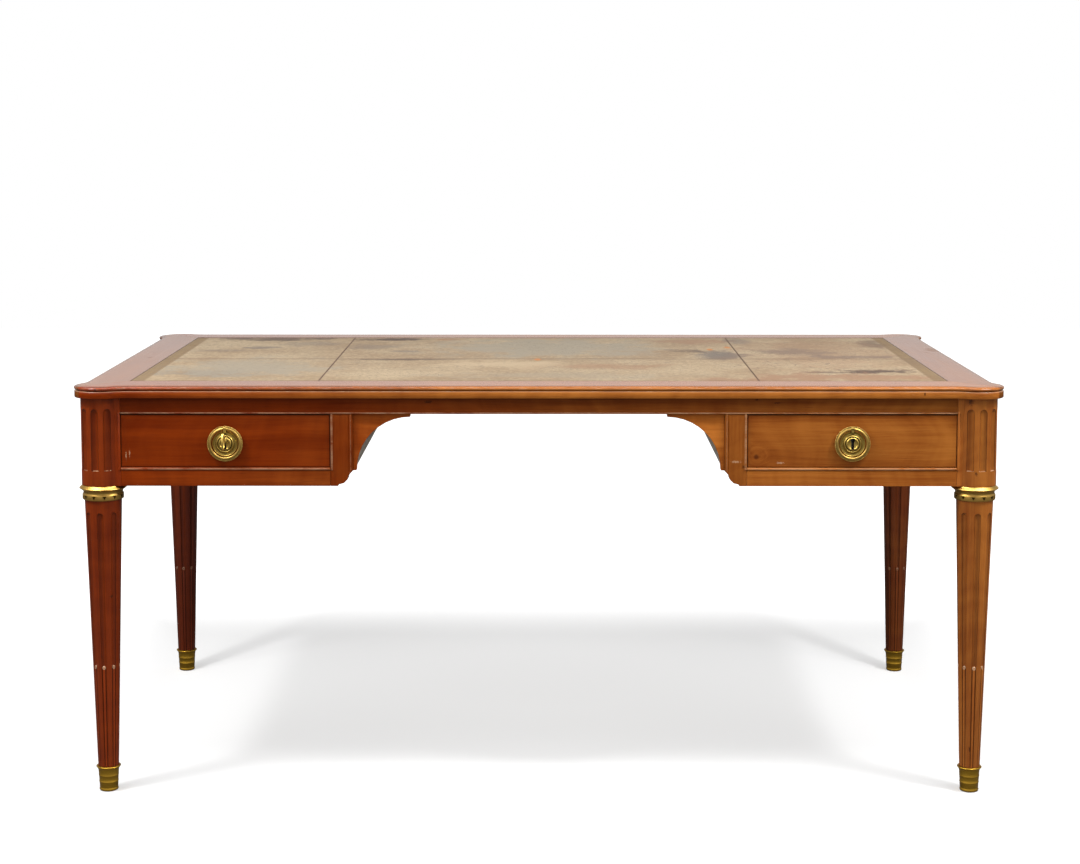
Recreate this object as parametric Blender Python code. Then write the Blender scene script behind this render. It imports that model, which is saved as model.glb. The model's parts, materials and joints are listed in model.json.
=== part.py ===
# Partners desk in the Louis XVI manner, four drawers, leather-lined top.
# Metres, +Z up, front faces -Y, stands on z = 0 about the origin.

import math

import bmesh
import bpy
from mathutils import Matrix

# Overall size
HEIGHT = 0.760
LEG_X = 0.800
BACK_GAP = 0.0594

# Clearances
FIT = 0.0003
DRAWER_GAP = 0.0008
SLIDE_GAP = 0.0007
PIN_GAP = 0.0004
LEVEL_STEP = 0.0005
CUT_PAST = 0.010

# Top: mitred frame with ears, ground panel and leather
TOP_T = 0.022
EAR_OVER = 0.011
EAR_HOLLOW = 0.045
EDGE_BACK = 0.013
BORDER = 0.080
NOSE_H = 0.0075
NOSE_R = 0.0040
QUIRK_H = 0.0020
QUIRK_D = 0.0046
FASCIA_SET = 0.0026
LEATHER_T = 0.0015
LEATHER_SINK = 0.0002
SEAM_X = 0.408
EAR_STEPS = 4
FLANK_STEPS = 2
HOLLOW_STEPS = 3

# Frieze
FRIEZE_H = 0.162
RAIL_H = 0.0295
SILL_H = 0.034
FRAME_T = 0.028
FACE_IN = 0.012
BEAD_W = 0.005
BEAD_OUT = 0.0016
RAIL_BEAD_H = 0.0032
STILE_W = 0.0407
MOULD_W = 0.0075
MOULD_OUT = 0.0012
CORNER_R = 0.018
CORNER_STEP = 0.003
APRON_T = 0.022
CHEEK_T = 0.015
RUNNER_T = 0.012
RUNNER_IN = 0.023
GUIDE_H = 0.028
SPANDREL_R = 0.0985
SPANDREL_LIP = 0.006
SPANDREL_SET = 0.006
SPANDREL_T = 0.016
ARC_STEPS = 10

# Legs: fluted post, brass capital, tapered fluted shaft, brass sabot
POST_R = 0.038
BLOCK_IN = 0.0384
LEG_TOP_R = 0.0337
LEG_LOW_R = 0.0189
FLUTES = 8
FLUTE_SPAN = math.radians(22.0)
FLUTE_DEPTH = 0.0040
FLUTE_DROP = 0.049
CABLE_TOP = 0.240
CABLE_RISE = 0.0034
POST_FLUTES = 5
POST_PITCH = math.radians(35.5)
POST_SPAN = math.radians(22.5)
POST_DEPTH = 0.0040
POST_FLUTE_LOW = 0.0285
POST_FLUTE_HIGH = 0.0205
CAP_H = 0.027
CAP_WALL = 0.0031
CAP_FLANGE = 0.0093
CAP_ROUND = 0.0013
SABOT_H = 0.047
SABOT_RIM = 0.0036
SABOT_WALL = 0.0030
SABOT_FOOT_R = 0.0174
SABOT_FLOOR = 0.005
SABOT_ROUND = 0.0012
SABOT_LIP = 0.006
FOOT_RING = 0.011
TOE_TAPER = 0.80
CAP_STEPS = 24
SABOT_STEPS = 20

# Drawers
DRAWER_W = 0.3808
DRAWER_SET = 0.001
DRAWER_TOP_GAP = 0.0012
FRONT_T = 0.020
BOX_L = 0.400
BOX_SIDE_IN = 0.0075
BOX_LOW = 0.0015
BOX_TOP = 0.008
SIDE_T = 0.010
BOTTOM_T = 0.007

# Ring pulls round keyhole plates
RING_R = 0.033
RING_IN = 0.0246
RING_T = 0.005
RING_OFF = 0.006
RING_DROP = 0.0045
RING_STEPS = 28
PIVOT_R = 0.0285
PIN_R = 0.0011
PIN_L = 0.0066
LUG_W = 0.005
LUG_R = 0.0019
PLATE_R = 0.0233
PLATE_H = 0.0082
PLATE_STEPS = 20
FOOT_LOW = 0.86
NECK_SHARE = 0.8
ROD_STEPS = 10

# Locks, bolt and key
KEY_UP = 0.007
KEYHOLE_R = 0.00385
KEYHOLE_W = 0.0048
KEYHOLE_DOWN = 0.0167
KEYWAY_GAP = 0.0008
EYE_STEPS = 8
LOCK_W = 0.056
LOCK_DOWN = 0.024
LOCK_LET_IN = 0.0105
LOCK_PROUD = 0.001
LOCK_WALL = 0.0015
LOCK_TOP = 0.005
DRILL_PIN_R = 0.0012
BOLT_W = 0.020
BOLT_T = 0.005
BOLT_TRAVEL = 0.008
MORTISE_GAP = 0.0008
BIT_L = 0.0150
BIT_T = 0.0030
KEY_R = 0.0031
KEY_STEPS = 12
COLLAR_R = 0.0047
COLLAR_W = 0.004
COLLAR_BACK = 0.006
NECK_R = 0.0023
BARREL_PAST = 0.003
BOW_OUT = 0.029
BOW_Z = 0.016
BOW_Y = 0.011
BOW_BAND = 0.0042
BOW_T = 0.0042
BOW_STEPS = 14

# Levels and planes that the pieces share
Z_UNDER = HEIGHT - TOP_T
Z_FRIEZE = Z_UNDER - FRIEZE_H
Z_RAIL = Z_UNDER - RAIL_H
Z_SILL = Z_FRIEZE + SILL_H
FACE = POST_R - FACE_IN
FACE_X = LEG_X + FACE
FACE_Y = BACK_GAP / 2 + BOX_L + FIT + FRONT_T + DRAWER_SET
LEG_Y = FACE_Y - FACE
FRAME_Y = FACE_Y - FRAME_T
X_OUT = LEG_X - BLOCK_IN
X_IN = X_OUT - DRAWER_W - 2 * DRAWER_GAP
KNEE_X = X_IN - STILE_W
EAR_R = POST_R + EAR_OVER
TOP_EDGE = EAR_R - EDGE_BACK
TOP_X = LEG_X + TOP_EDGE
TOP_Y = LEG_Y + TOP_EDGE
OPEN_X = TOP_X - BORDER
OPEN_Y = TOP_Y - BORDER
DRAWER_X0 = X_IN + DRAWER_GAP
DRAWER_X1 = X_OUT - DRAWER_GAP
DRAWER_Z0 = Z_SILL + DRAWER_GAP
DRAWER_Z1 = Z_RAIL - DRAWER_TOP_GAP
DRAWER_Y = FACE_Y - DRAWER_SET
FRONT_BACK = DRAWER_Y - FRONT_T
BOX_X0 = DRAWER_X0 + BOX_SIDE_IN
BOX_X1 = DRAWER_X1 - BOX_SIDE_IN
BOX_Z0 = DRAWER_Z0 + BOX_LOW
BOX_Z1 = DRAWER_Z1 - BOX_TOP
RUNNER_Z = BOX_Z0 - FIT
TIP_Z = Z_RAIL - SPANDREL_LIP - SPANDREL_R
PULL_X = (DRAWER_X0 + DRAWER_X1) / 2
PULL_Z = (DRAWER_Z0 + DRAWER_Z1) / 2 - RING_DROP
RING_Y = DRAWER_Y + RING_OFF
PIVOT_Z = PULL_Z + PIVOT_R
KEY_Z = PULL_Z + KEY_UP
LOCK_Y0 = FRONT_BACK - LOCK_PROUD
LOCK_Y1 = FRONT_BACK + LOCK_LET_IN - FIT
LOCK_Z0 = KEY_Z - LOCK_DOWN
LOCK_Z1 = DRAWER_Z1 - FIT
SWEEP_R = math.hypot(BIT_L, BIT_T / 2) + SLIDE_GAP
BOLT_Y = (LOCK_Y0 + LOCK_Y1) / 2
BOLT_Z0 = KEY_Z + SWEEP_R + SLIDE_GAP
BOLT_Z1 = LOCK_Z1 - FIT
KEY_FRONT = DRAWER_Y + BOW_OUT + BOW_Y
MIDDLE_Y = max(0.0, KEY_FRONT - LEG_Y - EAR_R) / 2

# Colours
MAHOGANY = (0.23, 0.075, 0.022)
OAK = (0.46, 0.33, 0.19)
LEATHER = (0.50, 0.42, 0.29)
BRASS = (0.66, 0.49, 0.19)
STEEL = (0.36, 0.35, 0.34)

CORNERS = {"fl": (-1, -1), "fr": (1, -1), "bl": (-1, 1), "br": (1, 1)}
KEYED = "fl"

for old in list(bpy.data.objects):
    bpy.data.objects.remove(old, do_unlink=True)


# Shared helpers

def material(name, colour, metal):
    mat = bpy.data.materials.new(name)
    mat.use_nodes = True
    shader = mat.node_tree.nodes["Principled BSDF"]
    shader.inputs["Base Color"].default_value = (*colour, 1.0)
    shader.inputs["Metallic"].default_value = metal
    shader.inputs["Roughness"].default_value = 0.30 if metal else 0.42
    mat.diffuse_color = (*colour, 1.0)
    return mat


def make(name, verts, faces, colour, metal=0.0, origin=(0, 0, 0), smooth=False):
    """One closed body; coincident points are merged and faces turned outward."""
    bm = bmesh.new()
    points = [bm.verts.new(v) for v in verts]
    for face in faces:
        bm.faces.new([points[i] for i in face])
    bmesh.ops.remove_doubles(bm, verts=bm.verts, dist=1e-7)
    bmesh.ops.dissolve_degenerate(bm, edges=bm.edges, dist=1e-7)
    flat = math.radians(0.2)
    bmesh.ops.dissolve_limit(bm, angle_limit=flat, verts=bm.verts, edges=bm.edges)
    bmesh.ops.recalc_face_normals(bm, faces=bm.faces)
    bmesh.ops.transform(bm, matrix=Matrix.Translation(origin).inverted(), verts=bm.verts)
    mesh = bpy.data.meshes.new(name)
    bm.to_mesh(mesh)
    bm.free()
    if smooth:
        mesh.shade_smooth()
        mesh.set_sharp_from_angle(angle=math.radians(38))
    obj = bpy.data.objects.new(name, mesh)
    obj.location = (origin[0], origin[1] + MIDDLE_Y, origin[2])
    obj.data.materials.append(material(name, colour, metal))
    bpy.context.scene.collection.objects.link(obj)
    return obj


def loft(name, rings, colour, **more):
    """Rings of equal length joined in order, both ends capped."""
    count = len(rings[0])
    verts = [p for ring in rings for p in ring]
    faces = [list(range(count))]
    for k in range(len(rings) - 1):
        low = k * count
        for i in range(count):
            j = (i + 1) % count
            faces.append((low + i, low + j, low + count + j, low + count + i))
    faces.append(list(range(len(verts) - count, len(verts))))
    return make(name, verts, faces, colour, **more)


def prism(name, outline, axis, low, high, colour, **more):
    """A flat outline pushed along one axis; the outline holds the other two in order."""
    rings = []
    for d in (low, high):
        ring = []
        for a, b in outline:
            spot = [a, b]
            spot.insert(axis, d)
            ring.append(tuple(spot))
        rings.append(ring)
    return loft(name, rings, colour, **more)


def block(name, low, high, colour, **more):
    outline = [(low[0], low[1]), (high[0], low[1]), (high[0], high[1]), (low[0], high[1])]
    return prism(name, outline, 2, low[2], high[2], colour, **more)


def lathe(name, profile, place, steps, colour, closed=False, **more):
    """Turn (radius, height) points; place puts (a, b, height) into the world."""
    verts = []
    for k in range(steps):
        turn = 2 * math.pi * k / steps
        for r, h in profile:
            verts.append(place(r * math.cos(turn), r * math.sin(turn), h))
    count = len(profile)
    last = count if closed else count - 1
    faces = []
    for k in range(steps):
        here = k * count
        there = (k + 1) % steps * count
        for i in range(last):
            j = (i + 1) % count
            corners = [here + i, here + j, there + j, there + i]
            if profile[i][0] == 0:
                corners.pop(3)
            elif profile[j][0] == 0:
                corners.pop(2)
            faces.append(corners)
    return make(name, verts, faces, colour, smooth=True, **more)


def join(obj, other, operation):
    """Cut or fuse one hidden helper body into a piece."""
    mod = obj.modifiers.new(other.name, "BOOLEAN")
    mod.operation = operation
    mod.solver = "EXACT"
    mod.object = other
    other.hide_render = True
    other.display_type = "WIRE"


def quadrant(sx, sy):
    """Pieces are drawn in the corner where x and y are positive, then mirrored into place."""
    def put(x, y, z):
        return (sx * x, sy * y, z)
    return put


def bead_points(at, across, face, out):
    """Half-round bead from an arris: (position, height above the face) pairs."""
    return [(at, face), (at + 0.15 * across, face + 0.7 * out), (at + 0.5 * across, face + out),
            (at + 0.85 * across, face + 0.7 * out), (at + across, face)]


# Top boards: stacked outlines follow the moulded edge round the ears

def board_outline(half_x, half_y, axis_x, axis_y, inset):
    """Board on the +Y side: round the right ear, its hollow, the edge, and the same on the left."""
    radius = EAR_R - inset
    hollow = EAR_HOLLOW + inset
    rise = TOP_EDGE - inset + hollow
    reach = math.sqrt((radius + hollow) ** 2 - rise ** 2)
    start = math.radians(45) + math.asin(FIT / 2 / radius)
    stop = math.atan2(rise, -reach)
    crown = math.pi / 2
    turns = [start + (crown - start) * k / EAR_STEPS for k in range(EAR_STEPS)]
    turns += [crown + (stop - crown) * k / FLANK_STEPS for k in range(FLANK_STEPS + 1)]
    right = [(axis_x + radius * math.cos(turn), axis_y + radius * math.sin(turn)) for turn in turns]
    swing = crown - stop
    for k in range(1, HOLLOW_STEPS + 1):
        turn = stop - math.pi + swing * k / HOLLOW_STEPS
        right.append((axis_x - reach + hollow * math.cos(turn), axis_y + rise + hollow * math.sin(turn)))
    left = [(-x, y) for x, y in reversed(right)]
    corner = half_x - FIT / math.sqrt(2)
    return [(corner, half_y)] + right + left + [(-corner, half_y)]


EDGE = [(0.0, NOSE_R), (0.16 * NOSE_H, 0.3 * NOSE_R), (0.48 * NOSE_H, 0.0),
        (0.83 * NOSE_H, 0.3 * NOSE_R), (NOSE_H, QUIRK_D), (NOSE_H + QUIRK_H, QUIRK_D),
        (NOSE_H + 1.15 * QUIRK_H, FASCIA_SET), (TOP_T, FASCIA_SET)]

for side, sign in (("front", -1), ("back", 1)):
    rings = []
    for drop, inset in EDGE:
        ring = board_outline(OPEN_X, OPEN_Y, LEG_X, LEG_Y, inset)
        rings.append([(x, sign * y, HEIGHT - drop) for x, y in ring])
    loft("top_board_" + side, rings, MAHOGANY, smooth=True)

for side, sign in (("left", -1), ("right", 1)):
    rings = []
    for drop, inset in EDGE:
        ring = board_outline(OPEN_Y, OPEN_X, LEG_Y, LEG_X, inset)
        rings.append([(sign * y, x, HEIGHT - drop) for x, y in ring])
    loft("top_board_" + side, rings, MAHOGANY, smooth=True)

PANEL_Z = HEIGHT - LEATHER_SINK - LEATHER_T - FIT
PANEL_X = OPEN_X - FIT
PANEL_Y = OPEN_Y - FIT
block("top_panel", (-PANEL_X, -PANEL_Y, Z_UNDER), (PANEL_X, PANEL_Y, PANEL_Z), OAK)

LEATHER_Z = HEIGHT - LEATHER_SINK
SEAM = SEAM_X - FIT / 2
for part, x0, x1 in (("left", -PANEL_X, -SEAM - FIT), ("middle", -SEAM, SEAM),
                     ("right", SEAM + FIT, PANEL_X)):
    block("leather_" + part, (x0, -PANEL_Y, PANEL_Z + FIT), (x1, PANEL_Y, LEATHER_Z), LEATHER)


# Legs: the turned shaft and the post above it, fused into one piece of wood

def shaft_radius(z):
    along = (z - SABOT_H) / (Z_FRIEZE - CAP_H - SABOT_H)
    return LEG_LOW_R + (LEG_TOP_R - LEG_LOW_R) * along


def flute(centre, half, radius, depth, rise):
    """Five points across one flute; rise lifts the middle of it into a cable."""
    points = []
    for share, deep in ((-1.0, 0.0), (-0.55, 0.78), (0.0, 1.0), (0.55, 0.78), (1.0, 0.0)):
        cut = depth * deep
        if share == 0.0:
            cut -= rise
        turn = centre + half * share
        points.append(((radius - cut) * math.cos(turn), (radius - cut) * math.sin(turn)))
    return points


def shaft_ring(radius, z, width=1.0, depth=0.0, rise=0.0):
    ring = []
    for k in range(FLUTES):
        centre = 2 * math.pi * k / FLUTES - math.pi / 2
        ring += flute(centre, FLUTE_SPAN / 2 * width, radius, depth, rise)
    return [(u, v, z) for u, v in ring]


def post_ring(z, width=1.0, depth=0.0, bead=0.0):
    """Square block with a round fluted outer corner and a bead beside each of its faces."""
    across = math.sqrt(POST_R ** 2 - FACE ** 2)
    ring = [(u, v) for v, u in bead_points(-BLOCK_IN, BEAD_W, FACE, bead)]
    ring.append((FACE, -across))
    for k in range(POST_FLUTES):
        centre = math.pi / 4 + (k - (POST_FLUTES - 1) / 2) * POST_PITCH
        ring += flute(centre, POST_SPAN / 2 * width, POST_R, depth, 0.0)
    ring.append((-across, FACE))
    ring += list(reversed(bead_points(-BLOCK_IN, BEAD_W, FACE, bead)))
    ring.append((-BLOCK_IN, -BLOCK_IN))
    return [(u, v, z) for u, v in ring]


def rounded_end(low, high):
    """Levels and width shares that close a flute in a half-round end towards high."""
    return [(low, 1.0), (low + (high - low) * 0.7, 0.71), (high, 0.0)]


def shaft_rings():
    """From the toe inside the sabot up to a spigot inside the post."""
    neck = Z_FRIEZE - CAP_H
    toe = LEG_LOW_R - SABOT_WALL / 2
    rings = [shaft_ring(toe * TOE_TAPER, SABOT_FLOOR), shaft_ring(toe, SABOT_H + FIT)]
    for z in (SABOT_H + FIT + LEVEL_STEP, CABLE_TOP):
        rings.append(shaft_ring(shaft_radius(z), z, 1.0, FLUTE_DEPTH * 0.8, CABLE_RISE * 0.8))
    low = CABLE_TOP + LEVEL_STEP
    rings.append(shaft_ring(shaft_radius(low), low, 1.0, FLUTE_DEPTH))
    top = Z_FRIEZE - FLUTE_DROP
    for z, share in rounded_end(top - LEG_TOP_R * FLUTE_SPAN / 2, top):
        rings.append(shaft_ring(shaft_radius(z), z, max(share, 0.3), FLUTE_DEPTH * share))
    rings += [shaft_ring(LEG_TOP_R, neck), shaft_ring(LEG_TOP_R, Z_FRIEZE + POST_FLUTE_LOW / 2)]
    return rings


def post_rings():
    low = Z_FRIEZE + POST_FLUTE_LOW
    high = Z_UNDER - POST_FLUTE_HIGH
    bead_top = Z_RAIL + RAIL_BEAD_H
    rings = [post_ring(Z_FRIEZE), post_ring(low)]
    rings.append(post_ring(low + LEVEL_STEP, 1.0, POST_DEPTH, BEAD_OUT))
    rings.append(post_ring(bead_top - LEVEL_STEP, 1.0, POST_DEPTH, BEAD_OUT))
    for z, share in rounded_end(max(high - POST_R * POST_SPAN / 2, bead_top), high):
        rings.append(post_ring(z, max(share, 0.3), POST_DEPTH * share))
    rings.append(post_ring(Z_UNDER - FIT))
    return rings


for corner, (sx, sy) in CORNERS.items():
    put = quadrant(sx, sy)
    rings = [[put(LEG_X + u, LEG_Y + v, z) for u, v, z in ring] for ring in post_rings()]
    leg = loft("leg_" + corner, rings, MAHOGANY, smooth=True)
    rings = [[put(LEG_X + u, LEG_Y + v, z) for u, v, z in ring] for ring in shaft_rings()]
    join(leg, loft("shaft_" + corner, rings, MAHOGANY, smooth=True), "UNION")

# Brass capital rings and sabots

CAP_Z1 = Z_FRIEZE - FIT
CAP_Z0 = Z_FRIEZE - CAP_H
CAP_IN = (LEG_TOP_R + FIT) / math.cos(math.pi / CAP_STEPS)
CAP_BAND = LEG_TOP_R + CAP_WALL
CAP_EDGE = LEG_TOP_R + CAP_FLANGE
CAPITAL = [(CAP_IN, CAP_Z0), (CAP_BAND, CAP_Z0), (CAP_BAND, CAP_Z0 + 0.62 * CAP_H),
           (CAP_EDGE - CAP_ROUND, CAP_Z0 + 0.70 * CAP_H), (CAP_EDGE, CAP_Z0 + 0.79 * CAP_H),
           (CAP_EDGE - CAP_ROUND, CAP_Z0 + 0.88 * CAP_H), (POST_R, CAP_Z1), (CAP_IN, CAP_Z1)]

TOE_R = (LEG_LOW_R - SABOT_WALL / 2 + FIT) / math.cos(math.pi / SABOT_STEPS)
SABOT_TOP_R = LEG_LOW_R + SABOT_RIM
SABOT = [(0, 0), (SABOT_FOOT_R - SABOT_ROUND, 0), (SABOT_FOOT_R, 0.27 * FOOT_RING),
         (SABOT_FOOT_R - SABOT_ROUND, 0.68 * FOOT_RING), (SABOT_FOOT_R, FOOT_RING),
         (LEG_LOW_R + SABOT_ROUND / 2, SABOT_H - SABOT_LIP), (SABOT_TOP_R, SABOT_H - 0.4 * SABOT_LIP),
         (SABOT_TOP_R - SABOT_ROUND / 2, SABOT_H), (TOE_R, SABOT_H),
         (TOE_R * TOE_TAPER + FIT, SABOT_FLOOR - FIT), (0, SABOT_FLOOR - FIT)]

for corner, (sx, sy) in CORNERS.items():
    def upright(a, b, h, sx=sx, sy=sy):
        return (sx * LEG_X + a, sy * LEG_Y + b, h)
    lathe("capital_" + corner, CAPITAL, upright, CAP_STEPS, BRASS, closed=True, metal=1.0)
    lathe("sabot_" + corner, SABOT, upright, SABOT_STEPS, BRASS, metal=1.0)

# Frieze rails over drawers and kneehole, with mortises for the lock bolts

RAIL_END = X_OUT - FIT
for side, sign in (("front", -1), ("back", 1)):
    profile = [(FRAME_Y, Z_UNDER - FIT), (FRAME_Y, Z_RAIL)]
    profile += [(y, z) for z, y in bead_points(Z_RAIL, RAIL_BEAD_H, FACE_Y, BEAD_OUT)]
    profile.append((FACE_Y, Z_UNDER - FIT))
    outline = [(sign * y, z) for y, z in profile]
    rail = prism("rail_" + side, outline, 0, -RAIL_END, RAIL_END, MAHOGANY)
    wide = BOLT_W / 2 + MORTISE_GAP
    thick = BOLT_T / 2 + MORTISE_GAP
    top = BOLT_Z1 + BOLT_TRAVEL + MORTISE_GAP
    ys = sorted((sign * (BOLT_Y - thick), sign * (BOLT_Y + thick)))
    for half in (-1, 1):
        low = (half * PULL_X - wide, ys[0], Z_RAIL - CUT_PAST)
        high = (half * PULL_X + wide, ys[1], top)
        join(rail, block("mortise_%s_%d" % (side, half), low, high, OAK), "DIFFERENCE")


# Stile between drawer and kneehole, its foot rounded between two small steps

def stile_ring(z, edge, bead):
    """Section at height z; edge is how far the stile reaches towards the kneehole there."""
    inner = KNEE_X + MOULD_W
    ring = [(X_IN, FRAME_Y)]
    ring += [(X_IN - p, y) for p, y in bead_points(0, BEAD_W, FACE_Y, bead)]
    for share, out in ((0.0, 0.0), (0.13, -1.0), (0.26, 0.3), (0.52, 1.0), (0.8, 0.0), (1.0, -2.5)):
        x = inner - share * MOULD_W
        if x < edge - 1e-9 or edge > inner:
            ring.append((edge, FACE_Y))
        else:
            ring.append((x, FACE_Y + out * MOULD_OUT))
    ring.append((edge, FRAME_Y))
    return [(x, y, z) for x, y in ring]


def stile_rings():
    centre_x = KNEE_X + MOULD_W + CORNER_R
    floor = Z_FRIEZE + CORNER_STEP
    foot_x = centre_x + CORNER_STEP / 2
    rings = [stile_ring(z, foot_x, 0.0) for z in (Z_FRIEZE, floor - LEVEL_STEP)]
    for k in range(4):
        turn = math.radians(30 * k)
        z = floor + CORNER_R * (1 - math.cos(turn))
        rings.append(stile_ring(z, centre_x - CORNER_R * math.sin(turn), 0.0))
    tip = max(TIP_Z, floor + CORNER_R + LEVEL_STEP)
    bead_low = max(Z_SILL - BEAD_W, tip + LEVEL_STEP)
    rings += [stile_ring(z, KNEE_X, 0.0) for z in (tip, bead_low)]
    rings += [stile_ring(z, KNEE_X, BEAD_OUT) for z in (bead_low + LEVEL_STEP, Z_RAIL - FIT)]
    return rings


# Spandrel bracket: concave quarter round with square lips

def spandrel_outline():
    x = KNEE_X - SPANDREL_LIP - SPANDREL_R
    outline = [(KNEE_X - FIT, Z_RAIL - FIT), (KNEE_X - FIT, TIP_Z)]
    for k in range(ARC_STEPS + 1):
        turn = math.pi / 2 * k / ARC_STEPS
        outline.append((x + SPANDREL_R * math.cos(turn), TIP_Z + SPANDREL_R * math.sin(turn)))
    outline.append((x, Z_RAIL - FIT))
    return outline


SILL = [(FRAME_Y, Z_FRIEZE), (FACE_Y, Z_FRIEZE)]
SILL += [(y, z) for z, y in bead_points(Z_SILL - BEAD_W, BEAD_W, FACE_Y, BEAD_OUT)]
SILL.append((FRAME_Y, Z_SILL))

for corner, (sx, sy) in CORNERS.items():
    put = quadrant(sx, sy)
    sill_x = sorted((sx * (X_IN + FIT), sx * (X_OUT - FIT)))
    prism("sill_" + corner, [(sy * y, z) for y, z in SILL], 0, sill_x[0], sill_x[1], MAHOGANY)
    rings = [[put(x, y, z) for x, y, z in ring] for ring in stile_rings()]
    loft("stile_" + corner, rings, MAHOGANY)
    face = FACE_Y - SPANDREL_SET
    rings = [[put(x, y, z) for x, z in spandrel_outline()] for y in (face - SPANDREL_T, face)]
    loft("spandrel_" + corner, rings, MAHOGANY)

# End aprons with a beaded panel, and kneehole cheeks, each with its drawer runner and guide

GUIDE_OUT = BOX_X1 + SLIDE_GAP
GUIDE_IN = BOX_X0 - SLIDE_GAP
GUIDE_Z = RUNNER_Z + GUIDE_H
RUNNER_LOW = RUNNER_Z - RUNNER_T
APRON_IN = FACE_X - APRON_T
PANEL_FACE = FACE_X - DRAWER_SET
APRON_TOP = Z_UNDER - FIT

APRON = [(FACE_X, Z_FRIEZE)]
APRON += [(x, z) for z, x in bead_points(Z_SILL - BEAD_W, BEAD_W, FACE_X, BEAD_OUT)]
APRON += [(PANEL_FACE, Z_SILL), (PANEL_FACE, Z_RAIL)]
APRON += [(x, z) for z, x in bead_points(Z_RAIL, RAIL_BEAD_H, FACE_X, BEAD_OUT)]
APRON += [(FACE_X, APRON_TOP), (APRON_IN, APRON_TOP), (APRON_IN, GUIDE_Z), (GUIDE_OUT, GUIDE_Z),
          (GUIDE_OUT, RUNNER_Z), (GUIDE_OUT - RUNNER_IN, RUNNER_Z), (GUIDE_OUT - RUNNER_IN, RUNNER_LOW),
          (APRON_IN, RUNNER_LOW), (APRON_IN, Z_FRIEZE)]

CHEEK_OUT = KNEE_X + CHEEK_T
CHEEK = [(KNEE_X, RUNNER_LOW), (KNEE_X, APRON_TOP), (CHEEK_OUT, APRON_TOP), (CHEEK_OUT, GUIDE_Z),
         (GUIDE_IN, GUIDE_Z), (GUIDE_IN, RUNNER_Z), (GUIDE_IN + RUNNER_IN, RUNNER_Z),
         (GUIDE_IN + RUNNER_IN, RUNNER_LOW)]

APRON_END = LEG_Y - BLOCK_IN - FIT
CHEEK_END = FRAME_Y - FIT
for side, sign in (("left", -1), ("right", 1)):
    for name, section, end in (("apron_", APRON, APRON_END), ("cheek_", CHEEK, CHEEK_END)):
        rings = [[(sign * x, y, z) for x, z in section] for y in (-end, end)]
        loft(name + side, rings, MAHOGANY)


# Placing for the drawer pieces

def corner_box(name, corner, x, y, z, colour, **more):
    """Block from spans drawn in the positive corner."""
    sx, sy = CORNERS[corner]
    xs = sorted(sx * v for v in x)
    ys = sorted(sy * v for v in y)
    return block(name + "_" + corner, (xs[0], ys[0], z[0]), (xs[1], ys[1], z[1]), colour, **more)


def outward(corner, z, start=0.0):
    """Axis square to a drawer front at height z, counted outward from the plane start."""
    sx, sy = CORNERS[corner]

    def place(a, b, h):
        return (sx * PULL_X + a, sy * (start + h), z + b)
    return place


def along_pin(corner):
    """Axis of a ring's hinge pin."""
    sx, sy = CORNERS[corner]

    def place(a, b, h):
        return (sx * PULL_X + h, sy * (RING_Y + a), PIVOT_Z + b)
    return place


def rod(name, corner, radius, low, high, place, colour):
    profile = [(0, low), (radius, low), (radius, high), (0, high)]
    return lathe(name + "_" + corner, profile, place, ROD_STEPS, colour, metal=1.0)


def keyhole(name, corner, grow, y0, y1):
    """Cutter in the shape of a round eye over a slot."""
    sx, sy = CORNERS[corner]
    radius = KEYHOLE_R + grow
    half = KEYHOLE_W / 2 + grow
    foot = KEY_Z - KEYHOLE_DOWN - grow
    start = -math.acos(half / radius)
    outline = [(sx * PULL_X - half, foot), (sx * PULL_X + half, foot)]
    for k in range(EYE_STEPS + 1):
        turn = start + (math.pi - 2 * start) * k / EYE_STEPS
        outline.append((sx * PULL_X + radius * math.cos(turn), KEY_Z + radius * math.sin(turn)))
    ys = sorted((sy * y0, sy * y1))
    return prism(name + "_" + corner, outline, 1, ys[0], ys[1], BRASS)


# Drawer front with its lock recess and keyway, and the tray behind it

def drawer(corner):
    front = corner_box("drawer_front", corner, (DRAWER_X0, DRAWER_X1), (FRONT_BACK, DRAWER_Y),
                       (DRAWER_Z0, DRAWER_Z1), MAHOGANY)
    wide = LOCK_W / 2 + FIT
    recess = corner_box("recess", corner, (PULL_X - wide, PULL_X + wide),
                        (FRONT_BACK - CUT_PAST, LOCK_Y1 + FIT), (LOCK_Z0 - FIT, DRAWER_Z1 + CUT_PAST), OAK)
    join(front, recess, "DIFFERENCE")
    join(front, keyhole("keyway", corner, KEYWAY_GAP, FRONT_BACK, DRAWER_Y + CUT_PAST), "DIFFERENCE")
    end = FRONT_BACK - FIT
    tray = corner_box("drawer_box", corner, (BOX_X0, BOX_X1), (end - BOX_L, end), (BOX_Z0, BOX_Z1), OAK)
    hollow = corner_box("hollow", corner, (BOX_X0 + SIDE_T, BOX_X1 - SIDE_T),
                        (end - BOX_L + SIDE_T, end + CUT_PAST), (BOX_Z0 + BOTTOM_T, BOX_Z1 + CUT_PAST), OAK)
    join(tray, hollow, "DIFFERENCE")


# Keyhole plate with the ear that carries the ring, and the ring on its pin

PLATE = [(0, 0), (PLATE_R, 0), (PLATE_R, 0.62 * PLATE_H), (0.80 * PLATE_R, 0.42 * PLATE_H),
         (0.66 * PLATE_R, 0.90 * PLATE_H), (0.54 * PLATE_R, 0.72 * PLATE_H),
         (0.44 * PLATE_R, PLATE_H), (0, PLATE_H)]
RING_MID = (RING_R + RING_IN) / 2
RING_HALF = (RING_R - RING_IN) / 2
RING = []
for k in range(6):
    side = math.radians(60 * k)
    RING.append((RING_MID + RING_HALF * math.cos(side), RING_T / math.sqrt(3) * math.sin(side)))


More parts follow.
